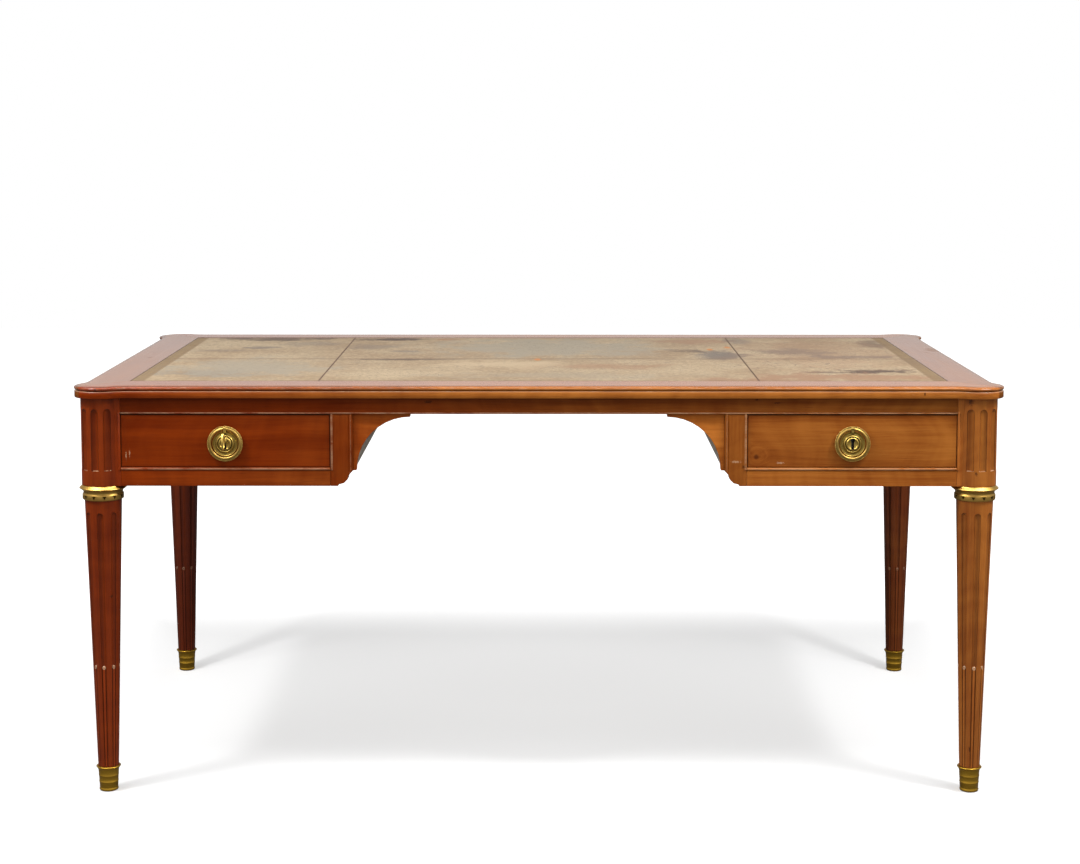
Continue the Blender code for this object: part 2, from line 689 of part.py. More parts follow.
def pull(corner):
    sx, sy = CORNERS[corner]
    face = outward(corner, PULL_Z, DRAWER_Y + FIT)
    plate = lathe("escutcheon_" + corner, PLATE, face, PLATE_STEPS, BRASS, metal=1.0)
    ear = LUG_W / 2
    slim = LUG_R * NECK_SHARE
    lift = PIVOT_Z - RING_T / 2 - 2 * PIN_GAP
    foot = corner_box("foot", corner, (PULL_X - ear, PULL_X + ear), (DRAWER_Y + 2 * FIT, RING_Y + slim),
                      (PULL_Z + FOOT_LOW * PLATE_R, lift), BRASS)
    neck = corner_box("neck", corner, (PULL_X - ear, PULL_X + ear), (RING_Y - slim, RING_Y + slim),
                      (lift - LUG_R, PIVOT_Z), BRASS)
    axis = along_pin(corner)
    knuckle = rod("knuckle", corner, LUG_R, -ear, ear, axis, BRASS)
    pin = rod("pin", corner, PIN_R, -PIN_L, PIN_L, axis, BRASS)
    for piece in (foot, neck, knuckle, pin):
        join(plate, piece, "UNION")
    join(plate, keyhole("eye", corner, 0.0, FRONT_BACK, DRAWER_Y + PLATE_H + CUT_PAST), "DIFFERENCE")

    ring = lathe("ring_" + corner, RING, outward(corner, PULL_Z, RING_Y), RING_STEPS, BRASS,
                 closed=True, metal=1.0, origin=(sx * PULL_X, sy * RING_Y, PIVOT_Z))
    wide = ear + PIN_GAP
    notch = corner_box("notch", corner, (PULL_X - wide, PULL_X + wide), (RING_Y - RING_T, RING_Y + RING_T),
                       (PULL_Z + RING_IN / 2, PIVOT_Z + LUG_R + PIN_GAP), BRASS)
    reach = PIN_L + PIN_GAP
    bore = rod("bore", corner, PIN_R + PIN_GAP, -reach, reach, axis, BRASS)
    join(ring, notch, "DIFFERENCE")
    join(ring, bore, "DIFFERENCE")


# Lock case let into the drawer front, open at its keyhole, with the drill pin the key turns on

CAVITY_TOP = LOCK_Z1 - LOCK_TOP
LOCK_BACK = LOCK_Y0 + LOCK_WALL
LOCK_FRONT = LOCK_Y1 - LOCK_WALL


def lock(corner):
    half = LOCK_W / 2
    case = corner_box("lock", corner, (PULL_X - half, PULL_X + half), (LOCK_Y0, LOCK_Y1),
                      (LOCK_Z0, LOCK_Z1), STEEL, metal=1.0)
    room = max(SWEEP_R, BOLT_W / 2) + SLIDE_GAP
    cavity = corner_box("cavity", corner, (PULL_X - room, PULL_X + room), (LOCK_BACK, LOCK_FRONT),
                        (KEY_Z - SWEEP_R - SLIDE_GAP, CAVITY_TOP), STEEL)
    join(case, cavity, "DIFFERENCE")
    join(case, keyhole("ward", corner, FIT, LOCK_FRONT - LOCK_WALL, LOCK_Y1 + CUT_PAST), "DIFFERENCE")
    drill = rod("drill", corner, DRILL_PIN_R, LOCK_Y0 + LOCK_WALL / 2, LOCK_Y1 - FIT,
                outward(corner, KEY_Z), STEEL)
    join(case, drill, "UNION")
    return case


def bolt(corner, case):
    """Bolt that rises through a gate in the top of its case."""
    wide = BOLT_W / 2
    thick = BOLT_T / 2
    gate = corner_box("gate", corner, (PULL_X - wide - FIT, PULL_X + wide + FIT),
                      (BOLT_Y - thick - FIT, BOLT_Y + thick + FIT),
                      (CAVITY_TOP - FIT, LOCK_Z1 + CUT_PAST), STEEL)
    join(case, gate, "DIFFERENCE")
    corner_box("bolt", corner, (PULL_X - wide, PULL_X + wide), (BOLT_Y - thick, BOLT_Y + thick),
               (BOLT_Z0, BOLT_Z1), STEEL, metal=1.0)


# Barrel key: stem with a collar, bit inside the case, and an oval bow seen edge-on

BOW_SECTION = ((0.0, 0.35), (0.5, 0.5), (1.0, 0.35), (1.0, -0.35), (0.5, -0.5), (0.0, -0.35))


def key_bow(corner):
    sx, sy = CORNERS[corner]
    mid = DRAWER_Y + BOW_OUT
    verts = []
    for k in range(BOW_STEPS):
        turn = 2 * math.pi * k / BOW_STEPS
        for inset, x in BOW_SECTION:
            y = mid + (BOW_Y - inset * BOW_BAND) * math.cos(turn)
            z = KEY_Z + (BOW_Z - inset * BOW_BAND) * math.sin(turn)
            verts.append((sx * PULL_X + x * BOW_T, sy * y, z))
    sides = len(BOW_SECTION)
    faces = []
    for k in range(BOW_STEPS):
        here = k * sides
        there = (k + 1) % BOW_STEPS * sides
        for i in range(sides):
            j = (i + 1) % sides
            faces.append((here + i, here + j, there + j, there + i))
    return make("bow_" + corner, verts, faces, BRASS, metal=1.0, smooth=True)


def key(corner):
    sx, sy = CORNERS[corner]
    axis = outward(corner, KEY_Z)
    tip = LOCK_BACK + FIT
    root = DRAWER_Y + BOW_OUT - BOW_Y
    collar = root - COLLAR_BACK
    end = root + BOW_BAND / 2
    profile = [(0, tip), (KEY_R, tip), (KEY_R, collar), (COLLAR_R, collar + COLLAR_W / 4),
               (COLLAR_R, collar + COLLAR_W * 3 / 4), (NECK_R, collar + COLLAR_W), (NECK_R, end), (0, end)]
    stem = lathe("key_" + corner, profile, axis, KEY_STEPS, BRASS, metal=1.0,
                 origin=(sx * PULL_X, sy * DRAWER_Y, KEY_Z))
    bit = corner_box("bit", corner, (PULL_X - BIT_T / 2, PULL_X + BIT_T / 2), (tip + FIT, LOCK_FRONT - FIT),
                     (KEY_Z - BIT_L, KEY_Z - KEY_R * 0.7), BRASS)
    bore_end = LOCK_Y1 + BARREL_PAST
    barrel = rod("barrel", corner, DRILL_PIN_R + PIN_GAP, tip - CUT_PAST, bore_end, axis, BRASS)
    join(stem, bit, "UNION")
    join(stem, key_bow(corner), "UNION")
    join(stem, barrel, "DIFFERENCE")


for corner in CORNERS:
    drawer(corner)
    pull(corner)
    case = lock(corner)
    if corner == KEYED:
        bolt(corner, case)
        key(corner)
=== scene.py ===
"""Partners desk: finishes, turned and carved detail and the stage, laid out as an add-on."""

import json
import math

import bmesh
import bpy
from bpy.props import FloatProperty, FloatVectorProperty, IntProperty, PointerProperty
from bpy.types import Operator, Panel, PropertyGroup
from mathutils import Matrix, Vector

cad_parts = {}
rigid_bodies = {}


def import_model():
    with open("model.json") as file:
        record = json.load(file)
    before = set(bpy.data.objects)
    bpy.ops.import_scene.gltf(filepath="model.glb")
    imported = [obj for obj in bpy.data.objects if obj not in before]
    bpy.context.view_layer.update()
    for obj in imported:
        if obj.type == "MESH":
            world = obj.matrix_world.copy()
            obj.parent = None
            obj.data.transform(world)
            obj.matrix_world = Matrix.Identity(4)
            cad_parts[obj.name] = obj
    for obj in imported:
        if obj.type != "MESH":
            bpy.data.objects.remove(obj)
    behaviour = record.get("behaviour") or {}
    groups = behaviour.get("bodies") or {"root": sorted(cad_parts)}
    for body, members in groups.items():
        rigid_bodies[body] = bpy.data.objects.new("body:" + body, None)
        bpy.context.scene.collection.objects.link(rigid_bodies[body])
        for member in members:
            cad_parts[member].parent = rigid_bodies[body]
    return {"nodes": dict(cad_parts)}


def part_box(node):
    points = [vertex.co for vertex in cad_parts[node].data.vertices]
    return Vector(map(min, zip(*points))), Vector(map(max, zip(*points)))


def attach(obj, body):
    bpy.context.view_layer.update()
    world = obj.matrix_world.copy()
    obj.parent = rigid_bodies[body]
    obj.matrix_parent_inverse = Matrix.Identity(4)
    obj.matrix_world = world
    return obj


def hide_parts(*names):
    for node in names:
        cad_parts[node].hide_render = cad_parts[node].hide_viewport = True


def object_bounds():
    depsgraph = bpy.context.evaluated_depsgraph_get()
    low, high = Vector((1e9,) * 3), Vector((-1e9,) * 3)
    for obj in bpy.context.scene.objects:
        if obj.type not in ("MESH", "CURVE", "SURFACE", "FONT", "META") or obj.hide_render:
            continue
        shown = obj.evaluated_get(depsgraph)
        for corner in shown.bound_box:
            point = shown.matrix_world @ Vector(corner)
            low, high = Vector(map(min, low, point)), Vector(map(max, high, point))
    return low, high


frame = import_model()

bl_info = {
    "name": "Partners Desk",
    "version": (1, 0, 0),
    "blender": (4, 5, 0),
    "location": "3D View > Sidebar > Desk",
    "description": "Leather-topped writing desk for two, with turned legs, drawers and brass mounts",
    "category": "Object",
}

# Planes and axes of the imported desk
CAD_BOX = [list(corner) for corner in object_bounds()]
CORNERS = {"fl": (-1, -1), "fr": (1, -1), "bl": (-1, 1), "br": (1, 1)}
FOOT_LOW, FOOT_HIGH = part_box("sabot_br")
FRONT_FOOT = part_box("sabot_fr")
LEG_X = (FOOT_LOW.x + FOOT_HIGH.x) / 2
MID_Y = (FOOT_LOW.y + FOOT_HIGH.y + FRONT_FOOT[0].y + FRONT_FOOT[1].y) / 4
LEG_Y = (FOOT_LOW.y + FOOT_HIGH.y) / 2 - MID_Y
UNDER_Z, TOP_Z = (corner.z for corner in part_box("top_board_front"))
CAP_LOW, CAP_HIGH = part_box("capital_br")
FRIEZE_Z = CAP_HIGH.z
NECK_Z = CAP_LOW.z
SABOT_Z = FOOT_HIGH.z
EAR_R = CAD_BOX[1][0] - LEG_X
LEATHER_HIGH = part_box("leather_middle")[1]
OPEN_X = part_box("leather_right")[1].x
OPEN_Y = LEATHER_HIGH.y - MID_Y
SEAM_X = LEATHER_HIGH.x
EDGE_BACK = 0.013
EAR_HOLLOW = 0.045
TOP_X = LEG_X + EAR_R - EDGE_BACK
TOP_Y = LEG_Y + EAR_R - EDGE_BACK
SILL_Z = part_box("sill_br")[1].z
RAIL_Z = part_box("rail_back")[0].z
FRONT_LOW, FRONT_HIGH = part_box("drawer_front_br")
PLATE_LOW, PLATE_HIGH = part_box("escutcheon_br")
PULL_X = (PLATE_LOW.x + PLATE_HIGH.x) / 2
RING_LOW, RING_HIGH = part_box("ring_br")
PULL_Z = RING_LOW.z + (RING_HIGH.x - RING_LOW.x) / 2
RING_Y = (RING_LOW.y + RING_HIGH.y) / 2 - MID_Y
PLATE_Y = PLATE_LOW.y - MID_Y
PIVOT_Z = PULL_Z + 0.0285
KEY_Z = PULL_Z + 0.007

# Gap between pieces that meet
FIT = 0.0003


# Sizes and colours that a user would change

def length(name, text, value):
    return FloatProperty(name=name, description=text, default=value, unit="LENGTH")


class DeskSizes(PropertyGroup):
    """Sizes of the finer shapes."""
    softening: length("Softening", "Width of the worn arrises on the woodwork", 0.0006)
    flute_depth: length("Flute depth", "Depth of a leg's flutes at the top", 0.0040)
    cable_top: length("Cable height", "Height at which the cables in the flutes end", 0.240)
    post_flute_depth: length("Post flute depth", "Depth of the flutes on the corner posts", 0.0040)
    notches: IntProperty(name="Notches", description="Pointed notches round a capital", default=12)
    beads: IntProperty(name="Beads", description="Beads round a ring pull", default=90)
    leather: length("Leather", "Thickness of the leather", 0.0013)


def colour(name, text, value):
    return FloatVectorProperty(name=name, description=text, default=value, size=3, subtype="COLOR",
                               min=0.0, max=1.0)


class DeskColours(PropertyGroup):
    """Colours of the finishes."""
    wood_red: colour("Red mahogany", "Deep red wood of the left half", (0.215, 0.027, 0.0015))
    wood_gold: colour("Golden mahogany", "Faded golden wood of the right half", (0.40, 0.125, 0.019))
    # Dark mahogany is also painted as shade in the flutes and in the quirk under the nose
    wood_dark: colour("Dark mahogany", "Pores, gaps and old polish", (0.035, 0.008, 0.003))
    # Worn wood is also painted as highlights on the crowns of the beads and on the fascia arris under the
    # nose
    wood_worn: colour("Worn wood", "Bare wood on chipped edges", (0.62, 0.40, 0.24))
    leather_tan: colour("Tan leather", "Main tone of the leather", (0.310, 0.204, 0.108))
    leather_cream: colour("Rubbed leather", "Rubbed patches", (0.415, 0.312, 0.192))
    leather_stain: colour("Stained leather", "Grey stains", (0.150, 0.115, 0.095))
    leather_band: colour("Tooled band", "Darker tooled border", (0.125, 0.066, 0.024))
    brass_bright: colour("Bright brass", "Rubbed brass", (0.68, 0.465, 0.115))
    brass_dull: colour("Dull brass", "Brass in the hollows", (0.105, 0.068, 0.014))
    oak: colour("Oak", "Drawer linings", (0.40, 0.265, 0.135))
    # Pale grey of the cheeks: pale unpolished wood and a painted reflection of the white backdrop, set
    # bright so that it reads pale in the shade under the top
    grey_wood_and_reflection: colour("Greyed wood", "Unpolished cheeks beside the kneehole", (0.76, 0.71, 0.63))
    steel: colour("Steel", "Lock cases", (0.30, 0.29, 0.28))
    floor: colour("Floor", "Plain studio floor", (0.80, 0.80, 0.80))


# Shader arithmetic

# Colour sockets of a Mix node
MIX_FIRST = 6
MIX_SECOND = 7
MIX_RESULT = 2


class Wire:
    """A node socket that takes part in Python arithmetic; each step adds a node to the same tree."""

    def __init__(self, tree, socket=None):
        self.tree = tree
        self.socket = socket

    def add(self, kind, settings=None, values=None, out=0):
        """Add any node: its settings are set first, then its sockets get values or links."""
        node = self.tree.nodes.new("ShaderNode" + kind)
        for key, value in (settings or {}).items():
            setattr(node, key, value)
        for key, value in (values or {}).items():
            if isinstance(value, Wire):
                self.tree.links.new(value.socket, node.inputs[key])
            else:
                node.inputs[key].default_value = value
        return Wire(self.tree, node.outputs[out] if len(node.outputs) else None)

    def math(self, operation, *values):
        return self.add("Math", {"operation": operation}, dict(enumerate(values)))

    def __add__(self, other):
        return self.math("ADD", self, other)

    def __sub__(self, other):
        return self.math("SUBTRACT", self, other)

    def __rsub__(self, other):
        return self.math("SUBTRACT", other, self)

    def __mul__(self, other):
        return self.math("MULTIPLY", self, other)

    def __truediv__(self, other):
        return self.math("DIVIDE", self, other)

    def __rtruediv__(self, other):
        return self.math("DIVIDE", other, self)

    def __pow__(self, other):
        return self.math("POWER", self, other)

    def __abs__(self):
        return self.math("ABSOLUTE", self)

    __radd__ = __add__
    __rmul__ = __mul__

    def ease(self, low, high):
        """0 below low, 1 above high, smooth between; low may be the larger."""
        return self.add("MapRange", {"interpolation_type": "SMOOTHSTEP"},
                        {"Value": self, "From Min": low, "From Max": high})

    def stripe(self, place, half):
        """1 at a place and 0 further than half from it."""
        return abs(self - place).ease(half, half * 0.4)

    def vector(self, x, y, z):
        return self.add("CombineXYZ", None, {"X": x, "Y": y, "Z": z})

    def most(self, other):
        """Larger of two values."""
        return self.math("MAXIMUM", self, other)

    def fraction(self):
        return self.math("FRACT", self)

    def noise(self, place, scale, detail, rough=0.55):
        return self.add("TexNoise", None, {"Vector": place, "Scale": scale, "Detail": detail,
                                           "Roughness": rough}, "Fac")

    def grain(self, x, y, z, detail, rough=0.55):
        """Noise on coordinates that are stretched one by one."""
        return self.noise(self.vector(x, y, z), 1.0, detail, rough)

    def spots(self, place, scale, out="Distance", **settings):
        """Random cells: the distance from their middles or edges, or their colours."""
        return self.add("TexVoronoi", settings, {"Vector": place, "Scale": scale}, out)

    def blend(self, first, second):
        """Colour mix from first to second by this value."""
        return self.add("Mix", {"data_type": "RGBA"}, {0: self, MIX_FIRST: first, MIX_SECOND: second},
                        MIX_RESULT)

    def tint(self, shade):
        """This colour times another."""
        return self.add("Mix", {"data_type": "RGBA", "blend_type": "MULTIPLY"},
                        {0: 1.0, MIX_FIRST: self, MIX_SECOND: (*shade, 1.0)}, MIX_RESULT)

    def bump(self, strength, distance):
        return self.add("Bump", None, {"Strength": strength, "Distance": distance, "Height": self})


def paint(name, gain=1.0):
    """One of the desk's colours for a socket; the gain is one number or one for each part."""
    parts = getattr(bpy.context.scene.desk_colours, name)
    gains = gain if isinstance(gain, tuple) else (gain,) * 3
    return (*(part * share for part, share in zip(parts, gains)), 1.0)


def along_grain(along, x, y, z):
    """Coordinates along the grain and the two across it."""
    return {"X": (x, y, z), "Y": (y, x, z), "Z": (z, x, y)}[along]


def new_finish(name):
    """Empty material; returns it with a wire on its tree and the object's x, y, z."""
    mat = bpy.data.materials.new(name)
    mat.use_nodes = True
    mat.node_tree.nodes.clear()
    wire = Wire(mat.node_tree)
    place = wire.add("TexCoord", out="Object")
    parts = [wire.add("SeparateXYZ", None, {0: place}, axis) for axis in "XYZ"]
    return mat, wire, place, parts


def close_finish(mat, wire, values):
    """Shader with its values or links, joined to the material's output."""
    shader = wire.add("BsdfPrincipled", None, values)
    wire.add("OutputMaterial", None, {"Surface": shader})
    return mat


def specks(wire, place, scale, share, size):
    """Small random spots: 1 inside a spot; share is the part of the cells that has one."""
    chance = wire.add("SeparateColor", None, {0: wire.spots(place, scale, "Color")}, "Red")
    return wire.spots(place, scale).ease(size, size * 0.6) * chance.ease(1.0 - share, 1.0 - share + 0.01)


# How fast the wood turns from red to golden along the desk, and how far down the edge the top is polished
PLAIN_SWEEP = 0.62
POLISH_LOW = 0.0122
POLISH_FULL = 0.0110


def mahogany(name, along, tone=0.0, gain=1.0, seed=0.0, knot=None, marks=None, polish=0.30,
             shine=0.08, coat=0.0, sweep=PLAIN_SWEEP):
    """Polished old mahogany: ribbon grain along one axis, red on the left and golden on the right."""
    mat, wire, _, (x, y, z) = new_finish(name)
    run, side, rise = along_grain(along, x, y, z)
    drift = wire.grain(run * 1.6 + seed, side * 4.0, rise * 4.0, 2.0) - 0.5
    if knot:
        away = ((x - knot[0]) * (x - knot[0]) + (z - knot[1]) * (z - knot[1])) ** 0.5
        drift = drift + away.ease(0.030, 0.0) * 0.5
    side = side + drift * 0.022
    rise = rise + drift * 0.030
    bands = wire.grain(run * 1.5 + seed, side * 38.0, rise * 38.0, 4.0, 0.62)
    fine = wire.grain(run * 9.0 + seed, side * 260.0, rise * 260.0, 3.0)
    ripple = wire.grain(run * 30.0 + drift * 8.0, side * 5.0, rise * 5.0 + seed, 2.0)
    pores = wire.grain(run * 34.0 + seed, side * 1500.0, rise * 1500.0, 1.0).ease(0.60, 0.74)
    cloud = wire.grain(x * 3.0 + seed, y * 3.0, z * 7.0, 3.0)
    depth = bands * 0.62 + fine * 0.20 + ripple * 0.28 - 0.05
    shade = depth.ease(0.30, 0.72)
    golden = (x * sweep + (cloud - 0.5) * 0.75 * (PLAIN_SWEEP / sweep) + (0.5 + tone)).ease(0.0, 1.0)
    hue = golden.blend(paint("wood_red", gain), paint("wood_gold", gain))
    base = shade.blend(hue.tint((0.62, 0.50, 0.45)), hue.tint((1.22, 1.32, 1.40)))
    base = (pores * 0.26).blend(base, paint("wood_dark"))
    if knot:
        base = (away.ease(0.006, 0.002) * 0.65).blend(base, paint("wood_dark"))
    chips = specks(wire, wire.vector(run * 0.5 + rise * 0.3, side, rise + run * 0.2), 105.0, 0.022, 0.13)
    base = (chips * 0.55).blend(base, paint("wood_worn", 0.8))
    nicks = specks(wire, wire.vector(run * 0.6, side, rise), 80.0, 0.016, 0.10)
    base = (nicks * 0.7).blend(base, paint("wood_dark"))
    for mark in marks or []:
        base = mark(wire, (x, y, z), base)
    polished = 0.0
    if coat:
        polished = z.ease(TOP_Z - POLISH_LOW, TOP_Z - POLISH_FULL) * coat
        polished = polished * (1.0 - broken_polish(wire, (x, y, z)) * 0.9)
    rough = fine * 0.10 + cloud * 0.08 + (polish - 0.08) + chips * 0.2
    height = bands * 0.3 + fine * 0.3 - pores * 0.5 - nicks * 0.6
    return close_finish(mat, wire, {
        "Base Color": base, "Roughness": rough, "Specular IOR Level": shine, "Coat Weight": polished,
        "Coat Roughness": 0.20, "Normal": height.bump(0.10, 0.0008)})


def oak_lining(name, along, seed, wood):
    """Dry oak with long open pores and pale rays."""
    mat, wire, place, (x, y, z) = new_finish(name)
    run, side, rise = along_grain(along, x, y, z)
    drift = wire.grain(run * 1.2 + seed, side * 3.0, rise * 3.0, 2.0) - 0.5
    side = side + drift * 0.03
    bands = wire.grain(run * 1.2 + seed, side * 55.0, rise * 55.0, 4.0, 0.6)
    pores = wire.grain(run * 26.0 + seed, side * 900.0, rise * 900.0, 1.5).ease(0.54, 0.70)
    rays = wire.grain(run * 40.0, side * 160.0, rise * 420.0, 1.0).ease(0.64, 0.74)
    dust = wire.noise(place, 9.0, 4.0)
    base = bands.ease(0.28, 0.75).blend(paint(wood, 0.72), paint(wood, 1.22))
    base = (pores * 0.6).blend(base, paint(wood, 0.40))
    base = (rays * 0.22).blend(base, paint(wood, 1.6))
    base = (dust.ease(0.55, 0.80) * 0.35).blend(base, paint(wood, 0.40))
    height = bands * 0.4 - pores
    return close_finish(mat, wire, {
        "Base Color": base, "Roughness": dust * 0.15 + 0.55, "Specular IOR Level": 0.3,
        "Normal": height.bump(0.18, 0.0008)})


# Near black painted into keyholes: the painted shade of the hole
HOLE_SHADE = (0.004, 0.003, 0.002, 1.0)


def old_brass(name, gain=1.0, dirt=1.0, hole=None):
    """Gilt brass, bright where hands rub it and dull in its hollows."""
    mat, wire, place, (x, y, z) = new_finish(name)
    open_sky = wire.add("AmbientOcclusion", {"samples": 8, "only_local": True}, {"Distance": 0.006}, "AO")
    cloud = wire.noise(place, 55.0, 4.0, 0.6)
    fine = wire.noise(place, 420.0, 3.0)
    rubbed = ((open_sky - 1.0) * (1.9 * dirt) + (cloud - 0.5) * 0.55 + 0.95).ease(0.05, 0.90)
    base = rubbed.blend(paint("brass_dull", gain), paint("brass_bright", gain))
    pits = specks(wire, place, 700.0, 0.12, 0.22)
    base = (pits * 0.7).blend(base, paint("brass_dull", 0.45))
    metal = 1.0
    if hole:
        # Painted shade: the keyhole's walls are near black and not metal
        hole_shade = hole((x, y, z))
        base = hole_shade.blend(base, HOLE_SHADE)
        metal = 1.0 - hole_shade
    rough = 0.56 - rubbed * 0.20 + fine * 0.10 + pits * 0.2
    height = fine * 0.4 + cloud * 0.6 - pits
    return close_finish(mat, wire, {
        "Base Color": base, "Metallic": metal, "Roughness": rough, "Normal": height.bump(0.12, 0.0006)})


def lock_steel(name):
    """Oiled steel with file marks and spots of rust."""
    mat, wire, place, (x, y, z) = new_finish(name)
    brush = wire.grain(x * 60.0, y * 900.0, z * 900.0, 2.0)
    cloud = wire.noise(place, 70.0, 4.0)
    rust = cloud.ease(0.58, 0.74)
    base = brush.blend(paint("steel", 0.7), paint("steel", 1.2))
    base = (rust * 0.7).blend(base, (0.10, 0.045, 0.02, 1.0))
    return close_finish(mat, wire, {
        "Base Color": base, "Metallic": 1.0 - rust * 0.7, "Roughness": brush * 0.15 + rust * 0.3 + 0.30,
        "Normal": brush.bump(0.10, 0.0004)})


# Old stains on the leather: middle x and y, half-widths, strength and tint
STAINS = (
    (-0.585, 0.362, 0.170, 0.040, 0.80, "umber"), (-0.590, 0.188, 0.046, 0.026, 0.60, "slate"),
    (-0.672, 0.132, 0.075, 0.030, 0.35, "slate"), (-0.486, 0.255, 0.075, 0.050, 0.40, "slate"),
    (-0.322, 0.352, 0.095, 0.026, 0.95, "umber"), (-0.204, 0.350, 0.040, 0.020, 0.60, "rust"),
    (-0.360, 0.207, 0.062, 0.050, 0.42, "slate"), (-0.280, 0.120, 0.032, 0.020, 0.60, "slate"),
    (0.015, 0.195, 0.250, 0.190, 0.80, "ash"), (0.327, 0.305, 0.090, 0.050, 0.65, "rose"),
    (0.371, 0.059, 0.056, 0.092, 0.85, "slate"), (0.308, 0.126, 0.050, 0.043, 0.60, "umber"),
    (0.428, 0.318, 0.030, 0.074, 0.55, "slate"), (0.515, 0.108, 0.100, 0.062, 0.70, "slate"),
    (0.628, 0.015, 0.100, 0.028, 0.75, "slate"), (0.640, -0.225, 0.095, 0.036, 0.90, "umber"),
    (0.560, -0.238, 0.050, 0.022, 0.55, "umber"), (0.552, -0.312, 0.190, 0.062, 0.75, "rose"),
    (-0.272, -0.026, 0.100, 0.017, 0.75, "umber"), (-0.622, -0.250, 0.100, 0.062, 0.50, "slate"),
    (-0.572, -0.164, 0.175, 0.155, 0.70, "ash"), (-0.060, -0.102, 0.140, 0.075, 0.70, "cream"),
    (0.140, -0.145, 0.150, 0.050, 0.55, "rose"), (0.340, -0.348, 0.080, 0.030, 0.70, "rose"),
    (0.712, 0.256, 0.032, 0.086, 0.55, "umber"), (0.600, -0.085, 0.120, 0.060, 0.30, "cream"),
    (0.575, 0.080, 0.190, 0.300, 0.35, "rose"), (0.040, -0.290, 0.260, 0.050, 0.35, "ash"))
ORANGE_SPOTS = ((-0.004, -0.028), (0.396, 0.194), (0.356, 0.155))
ORANGE_SIZE = (0.0080, 0.022)

# Tool marks per metre in the border of the leather
TOOLING = 110.0


def blot(place, ragged, spot):
    """Soft ragged stain: 1 in its middle and 0 outside."""
    across = (place[0] - spot[0]) / spot[2]
    deep = (place[1] - spot[1]) / spot[3]
    return ((across * across + deep * deep) ** 0.5 + ragged).ease(1.18, 0.42)


def tooled_leather(name):
    """Rubbed tan leather with tooled ends, seams, a fold, old stains and scratches."""
    tints = {"umber": (0.062, 0.030, 0.018, 1.0), "slate": (0.128, 0.104, 0.088, 1.0),
             "ash": (0.292, 0.250, 0.186, 1.0), "rose": (0.275, 0.138, 0.070, 1.0),
             "cream": paint("leather_cream", 1.18), "rust": (0.300, 0.110, 0.040, 1.0)}
    mat, wire, place, (x, y, z) = new_finish(name)
    cloud = wire.grain(x * 5.0, y * 6.0, z, 6.0, 0.66)
    patch = wire.grain(x * 4.4 + 7.0, y * 10.0, z, 6.0, 0.68)
    streak = wire.grain(x * 9.0, y * 60.0, z, 5.0, 0.68)
    ragged = (wire.grain(x * 15.0 + 2.0, y * 17.0, z, 9.0, 0.80) - 0.5) * 4.6
    grain = wire.spots(place, 620.0)
    crack = wire.spots(place, 75.0, feature="DISTANCE_TO_EDGE").ease(0.05, 0.0) * cloud.ease(0.42, 0.62)
    base = cloud.ease(0.34, 0.66).blend(paint("leather_tan", 0.94), paint("leather_cream"))
    base = (patch.ease(0.50, 0.72) * 0.60).blend(base, paint("leather_cream", 1.15))
    base = (patch.ease(0.46, 0.30) * 0.45).blend(base, paint("leather_tan", 0.75))
    base = (streak.ease(0.52, 0.74) * 0.42).blend(base, paint("leather_tan", 0.62))
    mottle = wire.grain(x * 120.0, y * 90.0, z, 4.0, 0.7)
    base = (mottle.ease(0.48, 0.66) * 0.42).blend(base, paint("leather_tan", 0.55))
    base = (mottle.ease(0.48, 0.32) * 0.42).blend(base, paint("leather_cream", 1.35))
    for spot in STAINS:
        base = (blot((x, y), ragged, spot) * spot[4]).blend(base, tints[spot[5]])
    base = (crack * 0.45).blend(base, paint("leather_stain", 0.6))
    lines = abs(wire.grain(x * 34.0 + y * 12.0, y * 11.0, z, 2.0, 0.4) - 0.5).ease(0.010, 0.003)
    worked = blot((x, y), ragged, (0.47, -0.10, 0.11, 0.10)) * 0.8 + patch.ease(0.50, 0.60) * 0.45
    scratch = lines * worked
    base = (scratch * 0.8).blend(base, paint("leather_stain", 0.45))
    fold = abs(y + drift_line(wire, x) - (MID_Y - 0.024)).ease(0.0140, 0.0020) * (0.30 + streak * 0.8)
    base = (fold * 0.70).blend(base, (0.150, 0.085, 0.045, 1.0))
    ends = OPEN_X - abs(x)
    sides = OPEN_Y - abs(y - MID_Y)
    rules = ends.stripe(0.0040, 0.0011) + ends.stripe(0.0225, 0.0011)
    tooth = abs(((x + y) * TOOLING).fraction() - 0.5)
    cross = abs(((x - y) * TOOLING).fraction() - 0.5)
    motif = tooth.math("MINIMUM", tooth, cross).ease(0.16, 0.10) * ends.stripe(0.0132, 0.0085)
    band = ends.ease(0.0262, 0.0242) * (0.70 + cloud * 0.5)
    base = (band * 0.72).blend(base, paint("leather_band"))
    tool = rules.most(motif) * cloud.ease(0.25, 0.60)
    base = (tool * 0.55).blend(base, (0.36, 0.23, 0.08, 1.0))
    rim = sides.ease(0.0180, 0.0030) * (0.25 + streak * 0.8)
    base = (rim * 0.80).blend(base, (0.130, 0.066, 0.032, 1.0))
    seam = abs(abs(x) - SEAM_X).ease(0.0026, 0.0008)
    base = (seam * 0.85).blend(base, (0.080, 0.030, 0.011, 1.0))
    for spot in ORANGE_SPOTS:
        drop = blot((x, y), ragged * 0.3, (*spot, *ORANGE_SIZE))
        base = (drop * 0.9).blend(base, (0.50, 0.17, 0.02, 1.0))
    height = grain * 0.25 - crack * 0.9 - tool * 0.6 - fold * 0.8 - scratch * 0.8 + streak * 0.3
    return close_finish(mat, wire, {
        "Base Color": base, "Roughness": cloud * 0.16 + 0.38, "Specular IOR Level": 0.36,
        "Normal": height.bump(0.22, 0.0008)})


def drift_line(wire, x):
    """Slight waver of a hand-made line along x."""
    return (wire.grain(x * 7.0, 0.3, 0.7, 2.0) - 0.5) * 0.012


